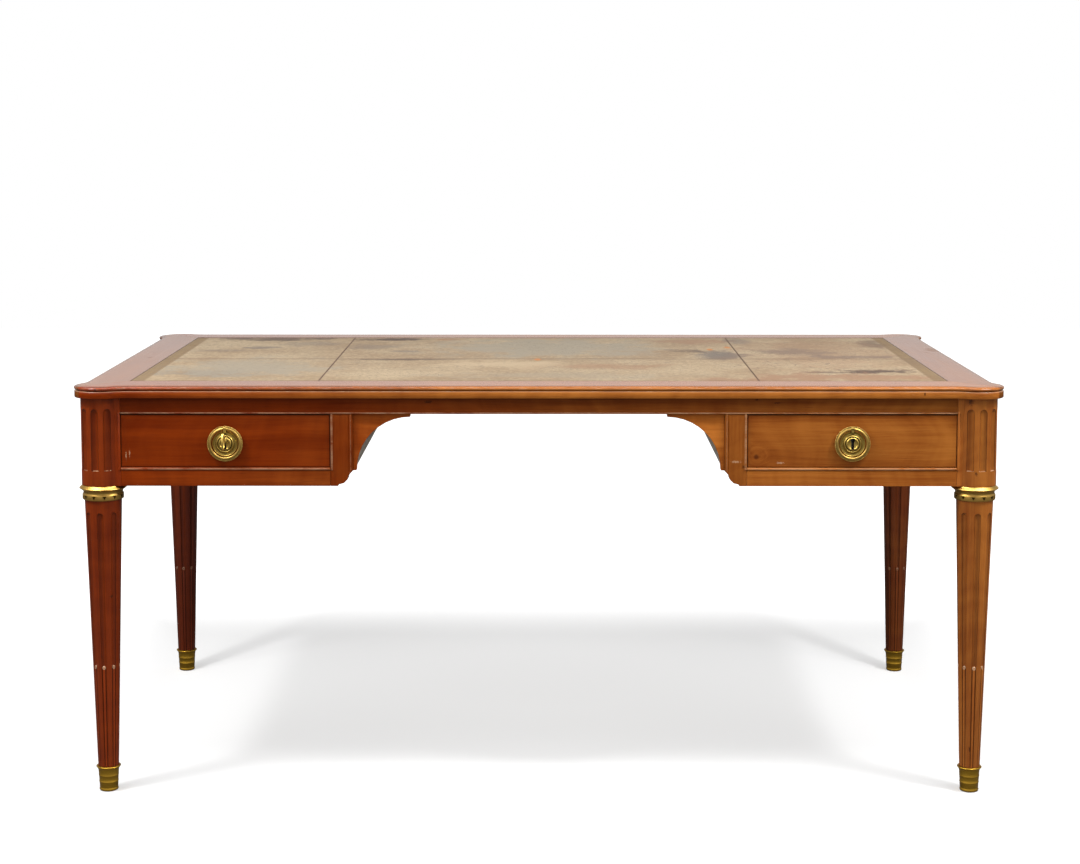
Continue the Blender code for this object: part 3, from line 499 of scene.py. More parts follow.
# Modelling by hand: selection, drawing, turning, cutting

def leave():
    """Back from edit mode to object mode."""
    if bpy.context.mode != "OBJECT":
        bpy.ops.object.mode_set(mode="OBJECT")


def clear():
    """Leave edit mode and select nothing."""
    leave()
    bpy.ops.object.select_all(action="DESELECT")


def only(obj):
    """Select one piece and make it the one in hand."""
    clear()
    obj.select_set(True)
    bpy.context.view_layer.objects.active = obj


def edit(obj):
    """Take a piece into edit mode with all its points selected."""
    only(obj)
    bpy.ops.object.mode_set(mode="EDIT")
    bpy.ops.mesh.select_mode(type="VERT")
    bpy.ops.mesh.select_all(action="SELECT")


def pick(test, kind="VERT"):
    """Select the points, edges or faces of the piece in hand that pass a test."""
    bpy.ops.mesh.select_mode(type=kind)
    bpy.ops.mesh.select_all(action="DESELECT")
    mesh = bpy.context.edit_object.data
    bm = bmesh.from_edit_mesh(mesh)
    for item in {"VERT": bm.verts, "EDGE": bm.edges, "FACE": bm.faces}[kind]:
        if test(item):
            item.select_set(True)
    bm.select_flush_mode()
    bmesh.update_edit_mesh(mesh)


def named(name):
    """Name the piece in hand and put its place into its mesh."""
    obj = bpy.context.object
    leave()
    obj.name = name
    obj.data.name = name
    only(obj)
    bpy.ops.object.transform_apply(location=True, rotation=True, scale=True)
    return obj


def seal(obj, merge=1e-5):
    """Merge doubles and turn the faces outward."""
    edit(obj)
    bpy.ops.mesh.remove_doubles(threshold=merge)
    bpy.ops.mesh.normals_make_consistent(inside=False)
    leave()
    return obj


def draw(name, points, closed=False):
    """Start from one point and extrude it from corner to corner."""
    clear()
    bpy.ops.mesh.primitive_plane_add(size=0.01, location=points[0])
    obj = named(name)
    edit(obj)
    bpy.ops.mesh.merge(type="CENTER")
    for here, there in zip(points, points[1:]):
        step = [b - a for a, b in zip(here, there)]
        bpy.ops.mesh.extrude_vertices_move(TRANSFORM_OT_translate={"value": step})
    if closed:
        pick(lambda v: len(v.link_edges) == 1)
        bpy.ops.mesh.edge_face_add()
    return obj


def turn(name, section, steps, centre, out=(0, 0, 1), closed=False):
    """Draw half a section of (radius, height) pairs beside an axis and spin it round."""
    points = [(centre[0] + r, centre[1] + out[1] * h, centre[2] + out[2] * h) for r, h in section]
    obj = draw(name, points, closed)
    bpy.ops.mesh.select_all(action="SELECT")
    bpy.ops.mesh.spin(steps=steps, angle=2 * math.pi, center=centre, axis=[abs(part) for part in out])
    return seal(obj)


def run_moulding(name, points, step):
    """Fill a closed section and push it along."""
    obj = draw(name, points, closed=True)
    bpy.ops.mesh.select_all(action="SELECT")
    bpy.ops.mesh.edge_face_add()
    bpy.ops.mesh.extrude_region_move(TRANSFORM_OT_translate={"value": step})
    return seal(obj)


def bar(name, low, high):
    """Square-edged blank between two corners."""
    clear()
    size = [b - a for a, b in zip(low, high)]
    bpy.ops.mesh.primitive_cube_add(size=1, location=[(a + b) / 2 for a, b in zip(low, high)], scale=size)
    return named(name)


def carve(obj, tool, operation="DIFFERENCE"):
    """Cut a tool out of a piece, or fuse it on, and put the tool away."""
    only(obj)
    mod = obj.modifiers.new("carve", "BOOLEAN")
    mod.operation = operation
    mod.solver = "EXACT"
    mod.object = tool
    bpy.ops.object.modifier_apply(modifier=mod.name)
    put_away(tool)
    return obj


def round_rows(obj, centre, count, axis=(0, 0, 1)):
    """Copy the piece in hand round an axis, count places in all."""
    edit(obj)
    bpy.ops.mesh.spin(steps=count - 1, dupli=True, angle=2 * math.pi * (count - 1) / count,
                      center=centre, axis=axis)
    bpy.ops.mesh.select_all(action="SELECT")
    bpy.ops.mesh.normals_make_consistent(inside=False)
    leave()
    return obj


def capsule(name, foot, head, low_r, high_r, segments=24, rings=5):
    """Tapered round rod with a domed head; foot and head are the ends of its axis."""
    clear()
    length = head[2] - foot[2]
    bpy.ops.mesh.primitive_cone_add(vertices=segments, radius1=low_r, radius2=high_r, depth=length,
                                    location=(foot[0], foot[1], foot[2] + length / 2))
    obj = named(name)
    edit(obj)
    pick(lambda v: v.co.z > head[2] - 1e-5)
    bpy.ops.transform.translate(value=(head[0] - foot[0], head[1] - foot[1], 0))
    pick(lambda f: f.normal.z > 0.99, "FACE")
    last = 1.0
    for k in range(1, rings + 1):
        angle = math.pi / 2 * k / rings * 0.97
        rise = high_r * (math.sin(angle) - math.sin(math.pi / 2 * (k - 1) / rings * 0.97))
        bpy.ops.mesh.extrude_region_move(TRANSFORM_OT_translate={"value": (0, 0, rise)})
        size = math.cos(angle) / last
        bpy.ops.transform.resize(value=(size, size, 1), center_override=(head[0], head[1], head[2]))
        last = math.cos(angle)
    leave()
    return obj


def pin(name, place, radius, reach):
    """Round pin along x that reaches as far to both sides of its place."""
    clear()
    bpy.ops.mesh.primitive_cylinder_add(vertices=24, radius=radius, depth=2 * reach, location=place,
                                        rotation=(0, math.pi / 2, 0))
    return named(name)


def smooth(obj, angle):
    only(obj)
    bpy.ops.object.shade_smooth_by_angle(angle=math.radians(angle))
    return obj


def soften(obj, width, segments=2, angle=48.0):
    """Round the sharp arrises, with the flat faces still shaded flat."""
    smooth(obj, angle)
    mod = obj.modifiers.new("soften", "BEVEL")
    mod.width = width
    mod.segments = segments
    mod.limit_method = "ANGLE"
    mod.angle_limit = math.radians(angle)
    mod.use_clamp_overlap = True
    mod.harden_normals = True
    bpy.ops.object.modifier_apply(modifier=mod.name)
    return obj


def copy_node(node, name):
    """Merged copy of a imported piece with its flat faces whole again."""
    only(frame["nodes"][node])
    bpy.ops.object.duplicate(linked=False)
    bpy.ops.object.parent_clear(type="CLEAR_KEEP_TRANSFORM")
    obj = named(name)
    for key in list(obj.keys()):
        del obj[key]
    edit(obj)
    bpy.ops.mesh.remove_doubles(threshold=1e-6)
    bpy.ops.mesh.mark_sharp(clear=True)
    bpy.ops.mesh.customdata_custom_splitnormals_clear()
    bpy.ops.mesh.dissolve_limited(angle_limit=math.radians(0.3))
    leave()
    return obj


def copy_piece(obj, name, scale=(1, 1, 1)):
    """Copy with a mesh of its own, mirrored about the desk's middle."""
    only(obj)
    bpy.ops.object.duplicate(linked=False)
    twin = named(name)
    edit(twin)
    if min(scale) < 0:
        bpy.ops.transform.resize(value=scale, center_override=(0, MID_Y, 0))
    bpy.ops.mesh.normals_make_consistent(inside=False)
    leave()
    return twin


def dress(obj, mat):
    """Give a piece its one finish."""
    obj.data.materials.clear()
    obj.data.materials.append(mat)


def settle(obj, body, node, mat):
    """Give a finished piece its finish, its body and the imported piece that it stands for."""
    dress(obj, mat)
    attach(obj, body)
    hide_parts(node)


def put_away(obj):
    bpy.data.objects.remove(obj, do_unlink=True)


def at_corners(master, name, node, finish, body=None):
    """Mirrored copies of a master at the four corners, on the carcass or each on a body of its own."""
    for corner, (sx, sy) in CORNERS.items():
        piece = copy_piece(master, name + corner, (sx, sy, 1))
        mat = finish[sy] if isinstance(finish, dict) else finish
        settle(piece, body + corner if body else "carcass", node + corner, mat)
    put_away(master)


# Top: moulded boards with round ears, mitred at the corners

# Moulded edge: distances back from its reach, and down from the top face or up from the under face
WORN_ROLL = ((0.0270, 0.0), (0.0240, 0.0), (0.0180, 0.0001), (0.0120, 0.0004), (0.0075, 0.0008))
NOSE_HEAD = 0.0013
NOSE_FOOT = 0.0075
NOSE_DEEP = 0.0040
QUIRK = ((0.0040, 0.0078), (0.0034, 0.0086), (0.0020, 0.0088), (0.0010, 0.0094), (0.0007, 0.0104))
FASCIA_FOOT = ((0.0007, 0.0012), (0.0013, 0.0003), (0.0023, 0.0), (0.0072, 0.0))
HOLLOW_STEPS = 8
EAR_STEPS = 48


def edge_section(reach):
    """Moulded edge from the top face down: worn roll, nose, quirk and fascia."""
    section = [(reach - back, TOP_Z - down) for back, down in WORN_ROLL]
    for k in range(9):
        angle = math.pi * k / 8
        section.append((reach - NOSE_DEEP * (1 - math.sin(angle) ** 0.8),
                        TOP_Z - NOSE_HEAD - (NOSE_FOOT - NOSE_HEAD) * (1 - math.cos(angle)) / 2))
    section += [(reach - back, TOP_Z - down) for back, down in QUIRK]
    return section + [(reach - back, UNDER_Z + up) for back, up in FASCIA_FOOT]


def push(step):
    """Extrude the open end of the moulding in hand along a straight."""
    bpy.ops.mesh.extrude_region_move(TRANSFORM_OT_translate={"value": step})


def swing(centre, angle, steps):
    """Carry the open end of the moulding in hand round an upright axis, to the left if positive."""
    bpy.ops.mesh.spin(steps=steps, angle=-angle, center=centre, axis=(0, 0, 1))


def top_blank():
    """Whole top before it is sawn: the edge run round straights, hollows and ears, then filled."""
    rise = EAR_R - EDGE_BACK + EAR_HOLLOW
    reach = math.sqrt((EAR_R + EAR_HOLLOW) ** 2 - rise ** 2)
    bend = math.atan2(reach, rise)
    wide = LEG_X - reach
    deep = LEG_Y - reach
    blank = draw("top_blank", [(0, MID_Y - d, z) for d, z in edge_section(TOP_Y)])
    bpy.ops.mesh.select_all(action="SELECT")
    push((wide, 0, 0))
    runs = {"fr": (0, 2 * deep, 0), "br": (-2 * wide, 0, 0), "bl": (0, -2 * deep, 0), "fl": (wide, 0, 0)}
    for corner, run in runs.items():
        sx, sy = CORNERS[corner]
        hollows = [(sx * wide, MID_Y + sy * (LEG_Y + rise), 0),
                   (sx * (LEG_X + rise), MID_Y + sy * deep, 0)]
        if sx == sy:
            hollows.reverse()
        swing(hollows[0], -bend, HOLLOW_STEPS)
        swing((sx * LEG_X, MID_Y + sy * LEG_Y, 0), math.pi / 2 + 2 * bend, EAR_STEPS)
        swing(hollows[1], -bend, HOLLOW_STEPS)
        push(run)
    seal(blank)
    edit(blank)
    middle = (TOP_Z + UNDER_Z) / 2
    for above in (True, False):
        pick(lambda e: len(e.link_faces) == 1 and (e.verts[0].co.z > middle) == above, "EDGE")
        bpy.ops.mesh.edge_face_add()
    seal(blank)
    opening = bar("opening", (-OPEN_X - FIT, MID_Y - OPEN_Y - FIT, UNDER_Z - 0.01),
                  (OPEN_X + FIT, MID_Y + OPEN_Y + FIT, TOP_Z + 0.01))
    return carve(blank, opening)


def saw_mitre(spot, normal):
    """Cut the board in hand and drop what lies on the side of the normal."""
    bpy.ops.mesh.select_all(action="SELECT")
    bpy.ops.mesh.bisect(plane_co=spot, plane_no=normal, use_fill=True, clear_outer=True, threshold=1e-6)


class DESK_OT_top_boards(Operator):
    """Four mitred boards with a moulded edge and round ears"""
    bl_idname = "desk.top_boards"
    bl_label = "Top Boards"

    def execute(self, context):
        blank = top_blank()
        sizes = context.scene.desk_sizes
        worn = {"marks": [worn_nose, top_stain], "polish": 0.22, "shine": 0.10}
        finish = {"X": mahogany("top_wood_long", "X", 0.58, 1.00, 3.0, coat=0.58, sweep=1.32, **worn),
                  "Y": mahogany("top_wood_ends", "Y", 0.62, 0.52, 8.0, coat=0.56, **worn)}
        ways = {"front": (0, -1), "back": (0, 1), "left": (-1, 0), "right": (1, 0)}
        for side, (ax, ay) in ways.items():
            board = copy_piece(blank, "moulded_board_" + side)
            edit(board)
            for turn_side in (-1, 1):
                across = (ay * turn_side, ax * turn_side)
                corner = ((ax + across[0]) * LEG_X, MID_Y + (ay + across[1]) * LEG_Y)
                normal = (across[0] - ax, across[1] - ay)
                spot = (corner[0] - normal[0] * FIT / 4, corner[1] - normal[1] * FIT / 4, TOP_Z)
                saw_mitre(spot, (normal[0], normal[1], 0))
            seal(board)
            soften(board, sizes.softening * 0.4, 1, 60.0)
            settle(board, "carcass", "top_board_" + side, finish["X" if ay else "Y"])
        put_away(blank)
        return {"FINISHED"}


def beyond(place, half_x, half_y):
    """Distance outside an upright box round the desk's middle."""
    return (abs(place[1] - MID_Y) - half_y).most(abs(place[0]) - half_x)


def worn_nose(wire, place, base):
    """Faded wood on the flat and paler wood along the rubbed nose, with darker knocks, painted shade in the
    quirk, and a pale line on the arris below it that is part wear and part painted highlight.
    """
    x, y, z = place
    flat = z.ease(TOP_Z - 0.0010, TOP_Z - 0.0003)
    base = (flat * 0.55).blend(base, paint("wood_gold", 0.70))
    low = z.ease(TOP_Z - 0.0075, TOP_Z - 0.0045)
    rub = wire.grain(x * 45.0, y * 45.0, z * 220.0, 5.0, 0.7).ease(0.50, 0.70)
    outer = beyond(place, TOP_X - 0.006, TOP_Y - 0.006).ease(-0.001, 0.002)
    base = (low * outer * rub * 0.22).blend(base, paint("wood_worn", 0.75))
    # Painted shade: a dark stripe in the quirk under the nose
    quirk = z.stripe(TOP_Z - 0.0080, 0.0009) * outer
    base = (quirk * 0.45).blend(base, paint("wood_dark"))
    # Pale line on the fascia's arris: partly rubbed wood and partly a painted highlight of the light that
    # the arris catches
    arris = z.stripe(TOP_Z - 0.0093, 0.0008) * outer
    base = (arris * (0.30 + rub * 0.40)).blend(base, paint("wood_worn"))
    inner = beyond(place, OPEN_X, OPEN_Y).ease(0.0016, 0.0006)
    base = (inner * 0.85).blend(base, paint("wood_dark"))
    knocks = specks(wire, wire.vector(x, y, z * 0.5), 60.0, 0.10, 0.12)
    return (knocks * outer * 0.8).blend(base, paint("wood_dark"))


# Marks where the polish of the top is gone: middle x and y and half-widths
BARE_STAIN = (0.822, 0.148, 0.016, 0.040)
BARE_MARKS = ((-0.790, 0.005, 0.006, 0.016), (-0.826, 0.190, 0.004, 0.030), (0.800, 0.100, 0.006, 0.014))


def broken_polish(wire, place):
    """Where the polish of the top is gone: a stain on the right end board and a few pale marks."""
    x, y, z = place
    ragged = (wire.grain(x * 40.0, y * 40.0, z, 4.0, 0.7) - 0.5) * 1.2
    stain = blot((x, y), ragged, BARE_STAIN)
    for spot in BARE_MARKS:
        stain = stain.most(blot((x, y), ragged, spot) * 0.5)
    return stain


def top_stain(wire, place, base):
    """Bare wood where the polish is gone."""
    return (broken_polish(wire, place) * 0.75).blend(base, (0.20, 0.085, 0.035, 1.0))


# Cuts across a skin, and how far its edges are pressed down
SKIN_CUTS = 47
SKIN_PRESS = 0.0002


class DESK_OT_leather(Operator):
    """Three leather skins laid on the ground panel, pressed down at the seams"""
    bl_idname = "desk.leather"
    bl_label = "Leather"

    def execute(self, context):
        thick = context.scene.desk_sizes.leather
        finish = tooled_leather("leather_finish")
        for part in ("left", "middle", "right"):
            node = "leather_" + part
            low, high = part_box(node)
            size = high - low
            clear()
            middle = ((low.x + high.x) / 2, MID_Y, high.z)
            bpy.ops.mesh.primitive_plane_add(size=1, location=middle)
            skin = named("tooled_skin_" + part)
            edit(skin)
            bpy.ops.transform.resize(value=(size.x, size.y, 1), center_override=middle)
            bpy.ops.mesh.subdivide(number_cuts=SKIN_CUTS)
            pick(lambda v: min(v.co.x - low.x, high.x - v.co.x, v.co.y - low.y, high.y - v.co.y) < 1e-4)
            bpy.ops.transform.translate(value=(0, 0, -SKIN_PRESS))
            leave()
            mod = skin.modifiers.new("thickness", "SOLIDIFY")
            mod.thickness = thick
            mod.offset = -1
            only(skin)
            bpy.ops.object.modifier_apply(modifier=mod.name)
            edit(skin)
            pick(lambda v: v.co.z < low.z)
            bpy.ops.transform.resize(value=(1, 1, 0), center_override=(0, 0, low.z))
            leave()
            smooth(skin, 40.0)
            settle(skin, "carcass", node, finish)
        dress(frame["nodes"]["top_panel"], oak_lining("ground_oak", "X", 2.0, "oak"))
        return {"FINISHED"}


# Legs: turned, fluted, cabled and fused with the corner post

# Radii of the shaft, its toe in the sabot and the post, and the post's flat faces
LEG_TOP_R = 0.0337
LEG_LOW_R = 0.0189
TOE_R = LEG_LOW_R - 0.0015
POST_R = 0.038
BLOCK_IN = 0.0384
FACE = 0.026

# Flutes and cables of the shaft: their number, half-widths as angles, and where the cutters end
SHAFT_FLUTES = 8
FLUTE_HALF = math.radians(11.0)
CABLE_HALF = math.radians(9.4)
FLUTE_HEAD = 0.5270 - 0.0068
CABLE_DOME = 0.0037
MID_SHAFT = 0.30
INTO_POST = 0.014

# Flutes and beads of the post
POST_FLUTES = 5
POST_HALF = math.radians(11.25)
POST_STEP = math.radians(35.5)
POST_FLUTE_Z = (0.6045, 0.7175)
POST_BEAD_Z = (0.6055, 0.7100)
POST_BEAD_R = 0.0027


def shaft_radius(z):
    return LEG_LOW_R + (LEG_TOP_R - LEG_LOW_R) * (z - SABOT_Z) / (NECK_Z - SABOT_Z)


def cutter(half_width, depth):
    """Radius of a round cutter and how far outside the surface its axis runs."""
    radius = (half_width ** 2 + depth ** 2) / (2 * depth)
    return radius, radius - depth


def rods(name, centre, low, high, rule, segments):
    """Tapered rods round the shaft, domed at the top; the rule gives a rod's radius and its way out."""
    low_r, low_out = rule(shaft_radius(low))
    high_r, high_out = rule(shaft_radius(high))
    foot = (centre[0] + low_out, centre[1], low)
    head = (centre[0] + high_out, centre[1], high)
    return round_rows(capsule(name, foot, head, low_r, high_r, segments), centre, SHAFT_FLUTES)


def turned_leg(sizes):
    """Leg of the positive corner."""
    axis = (LEG_X, MID_Y + LEG_Y, 0)
    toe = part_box("leg_br")[0].z
    neck = FRIEZE_Z + INTO_POST
    section = [(0, toe), (TOE_R * 0.80, toe), (TOE_R, SABOT_Z + 0.0001), (LEG_LOW_R, SABOT_Z + 0.0006),
               (shaft_radius(MID_SHAFT), MID_SHAFT), (LEG_TOP_R, NECK_Z), (LEG_TOP_R, neck), (0, neck)]
    leg = turn("turned_leg", section, 96, axis)

    def flute(radius):
        cut_r, off = cutter(radius * FLUTE_HALF, sizes.flute_depth * radius / LEG_TOP_R)
        return cut_r, radius + off

    def cable(radius):
        return radius * CABLE_HALF, radius - radius * CABLE_HALF * 0.93

    carve(leg, rods("flute_tool", axis, SABOT_Z + 0.0004, FLUTE_HEAD, flute, 24))
    carve(leg, rods("cable", axis, SABOT_Z + 0.0006, sizes.cable_top - CABLE_DOME, cable, 20), "UNION")
    carve(leg, corner_post(axis, sizes.post_flute_depth), "UNION")
    seal(leg, 2e-6)
    return smooth(leg, 32.0)


def corner_post(axis, depth):
    """Square-backed post with a round fluted corner and a bead on each face."""
    low = FRIEZE_Z + FIT
    top = UNDER_Z - FIT
    post = bar("post", (axis[0] - BLOCK_IN, axis[1] - BLOCK_IN, low), (axis[0] + FACE, axis[1] + FACE, top))
    column = [(0, low), (POST_R - 0.0006, low), (POST_R, FRIEZE_Z + 0.0012), (POST_R, top), (0, top)]
    carve(post, turn("column", column, 96, axis), "UNION")
    cut_r, off = cutter(POST_R * POST_HALF, depth)
    foot, head = POST_FLUTE_Z
    for k in range(POST_FLUTES):
        angle = math.pi / 4 + (k - POST_FLUTES // 2) * POST_STEP
        spot = (axis[0] + (POST_R + off) * math.cos(angle), axis[1] + (POST_R + off) * math.sin(angle))
        carve(post, capsule("post_flute", (*spot, foot), (*spot, head - cut_r * 0.72), cut_r, cut_r))
    foot, head = POST_BEAD_Z
    for along in (0, 1):
        spot = [axis[along] - BLOCK_IN + 0.0025, axis[1 - along] + FACE - 0.0011]
        if along:
            spot.reverse()
        bead = capsule("post_bead", (*spot, foot), (*spot, head), POST_BEAD_R, POST_BEAD_R, 20, 3)
        carve(post, bead, "UNION")
    return post


# Radius of the shaft at the heads of the cables
CABLE_AT = 0.0246


def cable_marks(wire, place, base, plugs=0.62):
    """Painted shade in the hollows and along the arrises of the flutes, pale rings on the heads of the
    cables, pale wood on the ledges at the feet of the post's flutes.
    """
    x, y, z = place
    u = abs(x) - LEG_X
    v = abs(y - MID_Y) - LEG_Y
    angle = u.math("ARCTAN2", v, u) / (math.pi / 4)
    off = (angle - angle.math("ROUND", angle)) * (math.pi / 4 * CABLE_AT)
    up = z - (bpy.context.scene.desk_sizes.cable_top - 0.0035)
    away = (off * off + up * up) ** 0.5
    ring = away.stripe(0.0022, 0.0015)
    reach = (u * u + v * v) ** 0.5
    shaft = LEG_LOW_R + (z - SABOT_Z) * ((LEG_TOP_R - LEG_LOW_R) / (NECK_Z - SABOT_Z))
    on_post = z.ease(FRIEZE_Z - 0.001, FRIEZE_Z + 0.001)
    sunk = shaft + on_post * (POST_R - shaft) - reach
    # Painted shade: dark wood in the hollows of the flutes and along their arrises
    inside = sunk.ease(0.0004, 0.0026) * sunk.ease(0.0075, 0.0055)
    arris = sunk.stripe(0.0008, 0.0010) * (0.68 + on_post * 0.08)
    base = (inside * 0.32).most(arris).blend(base, paint("wood_dark"))
    base = (ring * plugs).blend(base, paint("wood_worn"))
    # Pale wood on the ledges at the feet of the post's flutes, broken up by noise
    ledge = z.stripe(POST_FLUTE_Z[0] + 0.0005, 0.0012)
    ledge = ledge * wire.grain(x * 400.0, y * 400.0, z, 2.0).ease(0.35, 0.6)
    ledge = ledge * sunk.ease(0.0006, 0.0012) * sunk.ease(0.0050, 0.0040)
    return (ledge * 0.8).blend(base, paint("wood_worn"))


def faint_marks(wire, place, base):
    """Cable marks of the back legs."""
    return cable_marks(wire, place, base, 0.18)


class DESK_OT_legs(Operator):
    """Four turned legs with stop-fluted shafts and fluted corner posts"""
    bl_idname = "desk.legs"
    bl_label = "Legs"

    def execute(self, context):
        master = turned_leg(context.scene.desk_sizes)
        scarred = [cable_marks, front_scars]
        # The back legs take a darker tone and gain than the front legs: painted shade of the top over them
        finish = {-1: mahogany("leg_wood_front", "Z", 0.00, 1.09, 5.0, marks=scarred, shine=0.20),
                  1: mahogany("leg_wood_back", "Z", -0.60, 0.58, 6.0, marks=[faint_marks], shine=0.26)}
        at_corners(master, "fluted_leg_", "leg_", finish)
        return {"FINISHED"}


# Brass mounts on the legs

def capital_section():
    inner = LEG_TOP_R + FIT
    z = NECK_Z
    return [(inner, z), (0.0358, z), (0.0367, z + 0.0004), (0.0372, z + 0.0012), (0.0374, z + 0.0024),
            (0.0374, z + 0.0090), (0.0371, z + 0.0101), (0.0363, z + 0.0109), (0.0358, z + 0.0118),
            (0.0356, z + 0.0132), (0.0359, z + 0.0148), (0.0367, z + 0.0164), (0.0382, z + 0.0178),
            (0.0403, z + 0.0191), (0.0422, z + 0.0204), (0.0429, z + 0.0213), (0.0424, z + 0.0222),
            (0.0409, z + 0.0234), (0.0395, z + 0.0244), (0.0387, z + 0.0256), (0.0380, z + 0.0266),
            (inner, z + 0.0267)]


class DESK_OT_capitals(Operator):
    """Brass collars under the posts, notched round their bands"""
    bl_idname = "desk.capitals"
    bl_label = "Capitals"

    def execute(self, context):
        count = context.scene.desk_sizes.notches
        axis = (LEG_X, MID_Y + LEG_Y, 0)
        master = turn("capital", capital_section(), 72, axis, closed=True)
        tool = bar("notch", (LEG_X + 0.0347, axis[1] - 0.0036, NECK_Z + 0.0026),
                   (LEG_X + 0.0400, axis[1] + 0.0036, NECK_Z + 0.0086))
        edit(tool)
        pick(lambda v: v.co.z < NECK_Z + 0.005)
        bpy.ops.transform.resize(value=(1, 0.08, 1), center_override=(axis[0], axis[1], 0))
        edit(tool)
        bpy.ops.transform.rotate(value=math.radians(180 / count), orient_axis="Z", center_override=axis)
        carve(master, round_rows(tool, axis, count))
        smooth(master, 38.0)
        brass = old_brass("capital_brass", (0.78, 0.69, 0.66))
        at_corners(master, "notched_capital_", "capital_", brass)
        return {"FINISHED"}


def sabot_section():
    bore = TOE_R + FIT
    return [(0, 0), (0.0150, 0), (0.0165, 0.0006), (0.0172, 0.0018), (0.0174, 0.0034), (0.0171, 0.0048),
            (0.0166, 0.0058), (0.0166, 0.0066), (0.0169, 0.0074), (0.0174, 0.0160), (0.0178, 0.0165),
            (0.0179, 0.0172), (0.0178, 0.0179), (0.0175, 0.0184), (0.0180, 0.0280), (0.0184, 0.0285),
            (0.0185, 0.0292), (0.0184, 0.0299), (0.0182, 0.0304), (0.0188, 0.0385),
            (0.0194, 0.0410), (0.0206, 0.0432), (0.0219, 0.0444), (0.0225, 0.0453), (0.0224, 0.0461),
            (0.0219, 0.0467), (0.0205, 0.0470), (bore, 0.0470), (bore * 0.815, 0.0047), (0, 0.0047)]


class DESK_OT_sabots(Operator):
    """Turned brass shoes on the toes"""
    bl_idname = "desk.sabots"
    bl_label = "Sabots"

    def execute(self, context):
        master = turn("sabot", sabot_section(), 64, (LEG_X, MID_Y + LEG_Y, 0))
        smooth(master, 40.0)
        brass = old_brass("sabot_brass", (0.65, 0.54, 0.24), 0.4)
        at_corners(master, "ringed_sabot_", "sabot_", brass)
        return {"FINISHED"}


# Frieze, drawers and brass pulls

# Scars that the photo shows on the front: middle x and height, half-widths and tone
SCARS = ((0.4327, 0.7291, 0.0075, 0.0014, "dark"), (0.3964, 0.7350, 0.0040, 0.0020, "dark"),
         (-0.2009, 0.7307, 0.0085, 0.0030, "dark"), (0.7828, 0.7311, 0.0045, 0.0060, "dark"),
         (0.7945, 0.6008, 0.0030, 0.0040, "dark"), (0.3736, 0.6116, 0.0040, 0.0035, "dark"),
         (0.3593, 0.6208, 0.0090, 0.0020, "pale"), (0.4394, 0.6190, 0.0060, 0.0016, "pale"),
         (-0.7452, 0.6367, 0.0012, 0.0060, "pale"), (-0.7517, 0.6312, 0.0012, 0.0075, "pale"),
         (0.7963, 0.0840, 0.0018, 0.0055, "dark"), (-0.7841, 0.3698, 0.0020, 0.0030, "dark"))

# Colour and strength of a scar by its tone
SCAR_TONES = {"dark": ("wood_dark", 0.75), "pale": ("wood_worn", 0.5)}


def proud_of(place):
    """Height above the frieze's four faces."""
    return beyond(place, LEG_X + FACE, LEG_Y + FACE)


def painted_bead_highlight(wire, place, base):
    """Painted highlight: paler wood on the crowns of the beads round the drawers, where they catch the
    light.
    """
    x, y, z = place
    rub = wire.grain(x * 30.0, y * 30.0, z * 120.0, 5.0, 0.7)
    crown = proud_of(place).ease(0.0005, 0.0014) * rub.ease(0.30, 0.62)
    return (crown * 0.42).blend(base, paint("wood_worn", 0.85))


def dark_quirk(wire, place, base):
    """Dark lines in the quirks beside the level beads, where the wood lies back from the face."""
    level = place[2].stripe(SILL_Z - 0.0052, 0.0007).most(place[2].stripe(RAIL_Z + 0.0034, 0.0007))
    return (level * proud_of(place).ease(-0.0010, -0.0004) * 0.70).blend(base, paint("wood_dark"))


def front_scars(wire, place, base):
    """Knocks and scratches that the photo shows on the front."""
    x, y, z = place
    ragged = (wire.grain(x * 420.0, y * 420.0, z * 420.0, 3.0, 0.7) - 0.5) * 4.0
    front = y.ease(MID_Y - 0.30, MID_Y - 0.36)
    for spot in SCARS:
        tone, strength = SCAR_TONES[spot[4]]
        base = (blot((x, z), ragged, spot) * front * strength).blend(base, paint(tone))
    return base


class DESK_OT_frieze(Operator):
    """Rails, sills, stiles, spandrels, aprons and cheeks with worn arrises"""
    bl_idname = "desk.frieze"
    bl_label = "Frieze"

    def execute(self, context):
        width = context.scene.desk_sizes.softening
        beaded = [painted_bead_highlight, dark_quirk, front_scars]
        # The rail wood is set darker than the other frieze wood: painted shade of the top's overhang
        wood = {"rail": mahogany("rail_wood", "X", -0.14, 0.66, 11.0, marks=beaded),
                "sill": mahogany("sill_wood", "X", 0.02, 0.98, 13.0, marks=beaded),
                "stile": mahogany("stile_wood", "Z", -0.04, 0.80, 15.0, marks=[painted_bead_highlight, front_scars]),
                # The spandrel wood is set brighter than the other frieze wood: painted light that offsets
                # the shade of their recess
                "spandrel": mahogany("spandrel_wood", "X", 0.06, 1.22, 17.0),
                "apron": mahogany("apron_wood", "Y", 0.0, 0.95, 19.0, marks=[painted_bead_highlight, dark_quirk]),
                # The cheeks' pale grey is partly a painted reflection of the white backdrop
                "cheek": oak_lining("cheek_wood", "Y", 21.0, "grey_wood_and_reflection")}
        names = ["rail_front", "rail_back", "apron_left", "apron_right", "cheek_left", "cheek_right"]
        names += [kind + corner for kind in ("sill_", "stile_", "spandrel_") for corner in CORNERS]
        for node in names:
            piece = copy_node(node, "worn_" + node)
            soften(piece, width)
            settle(piece, "carcass", node, wood[node.split("_")[0]])
        return {"FINISHED"}


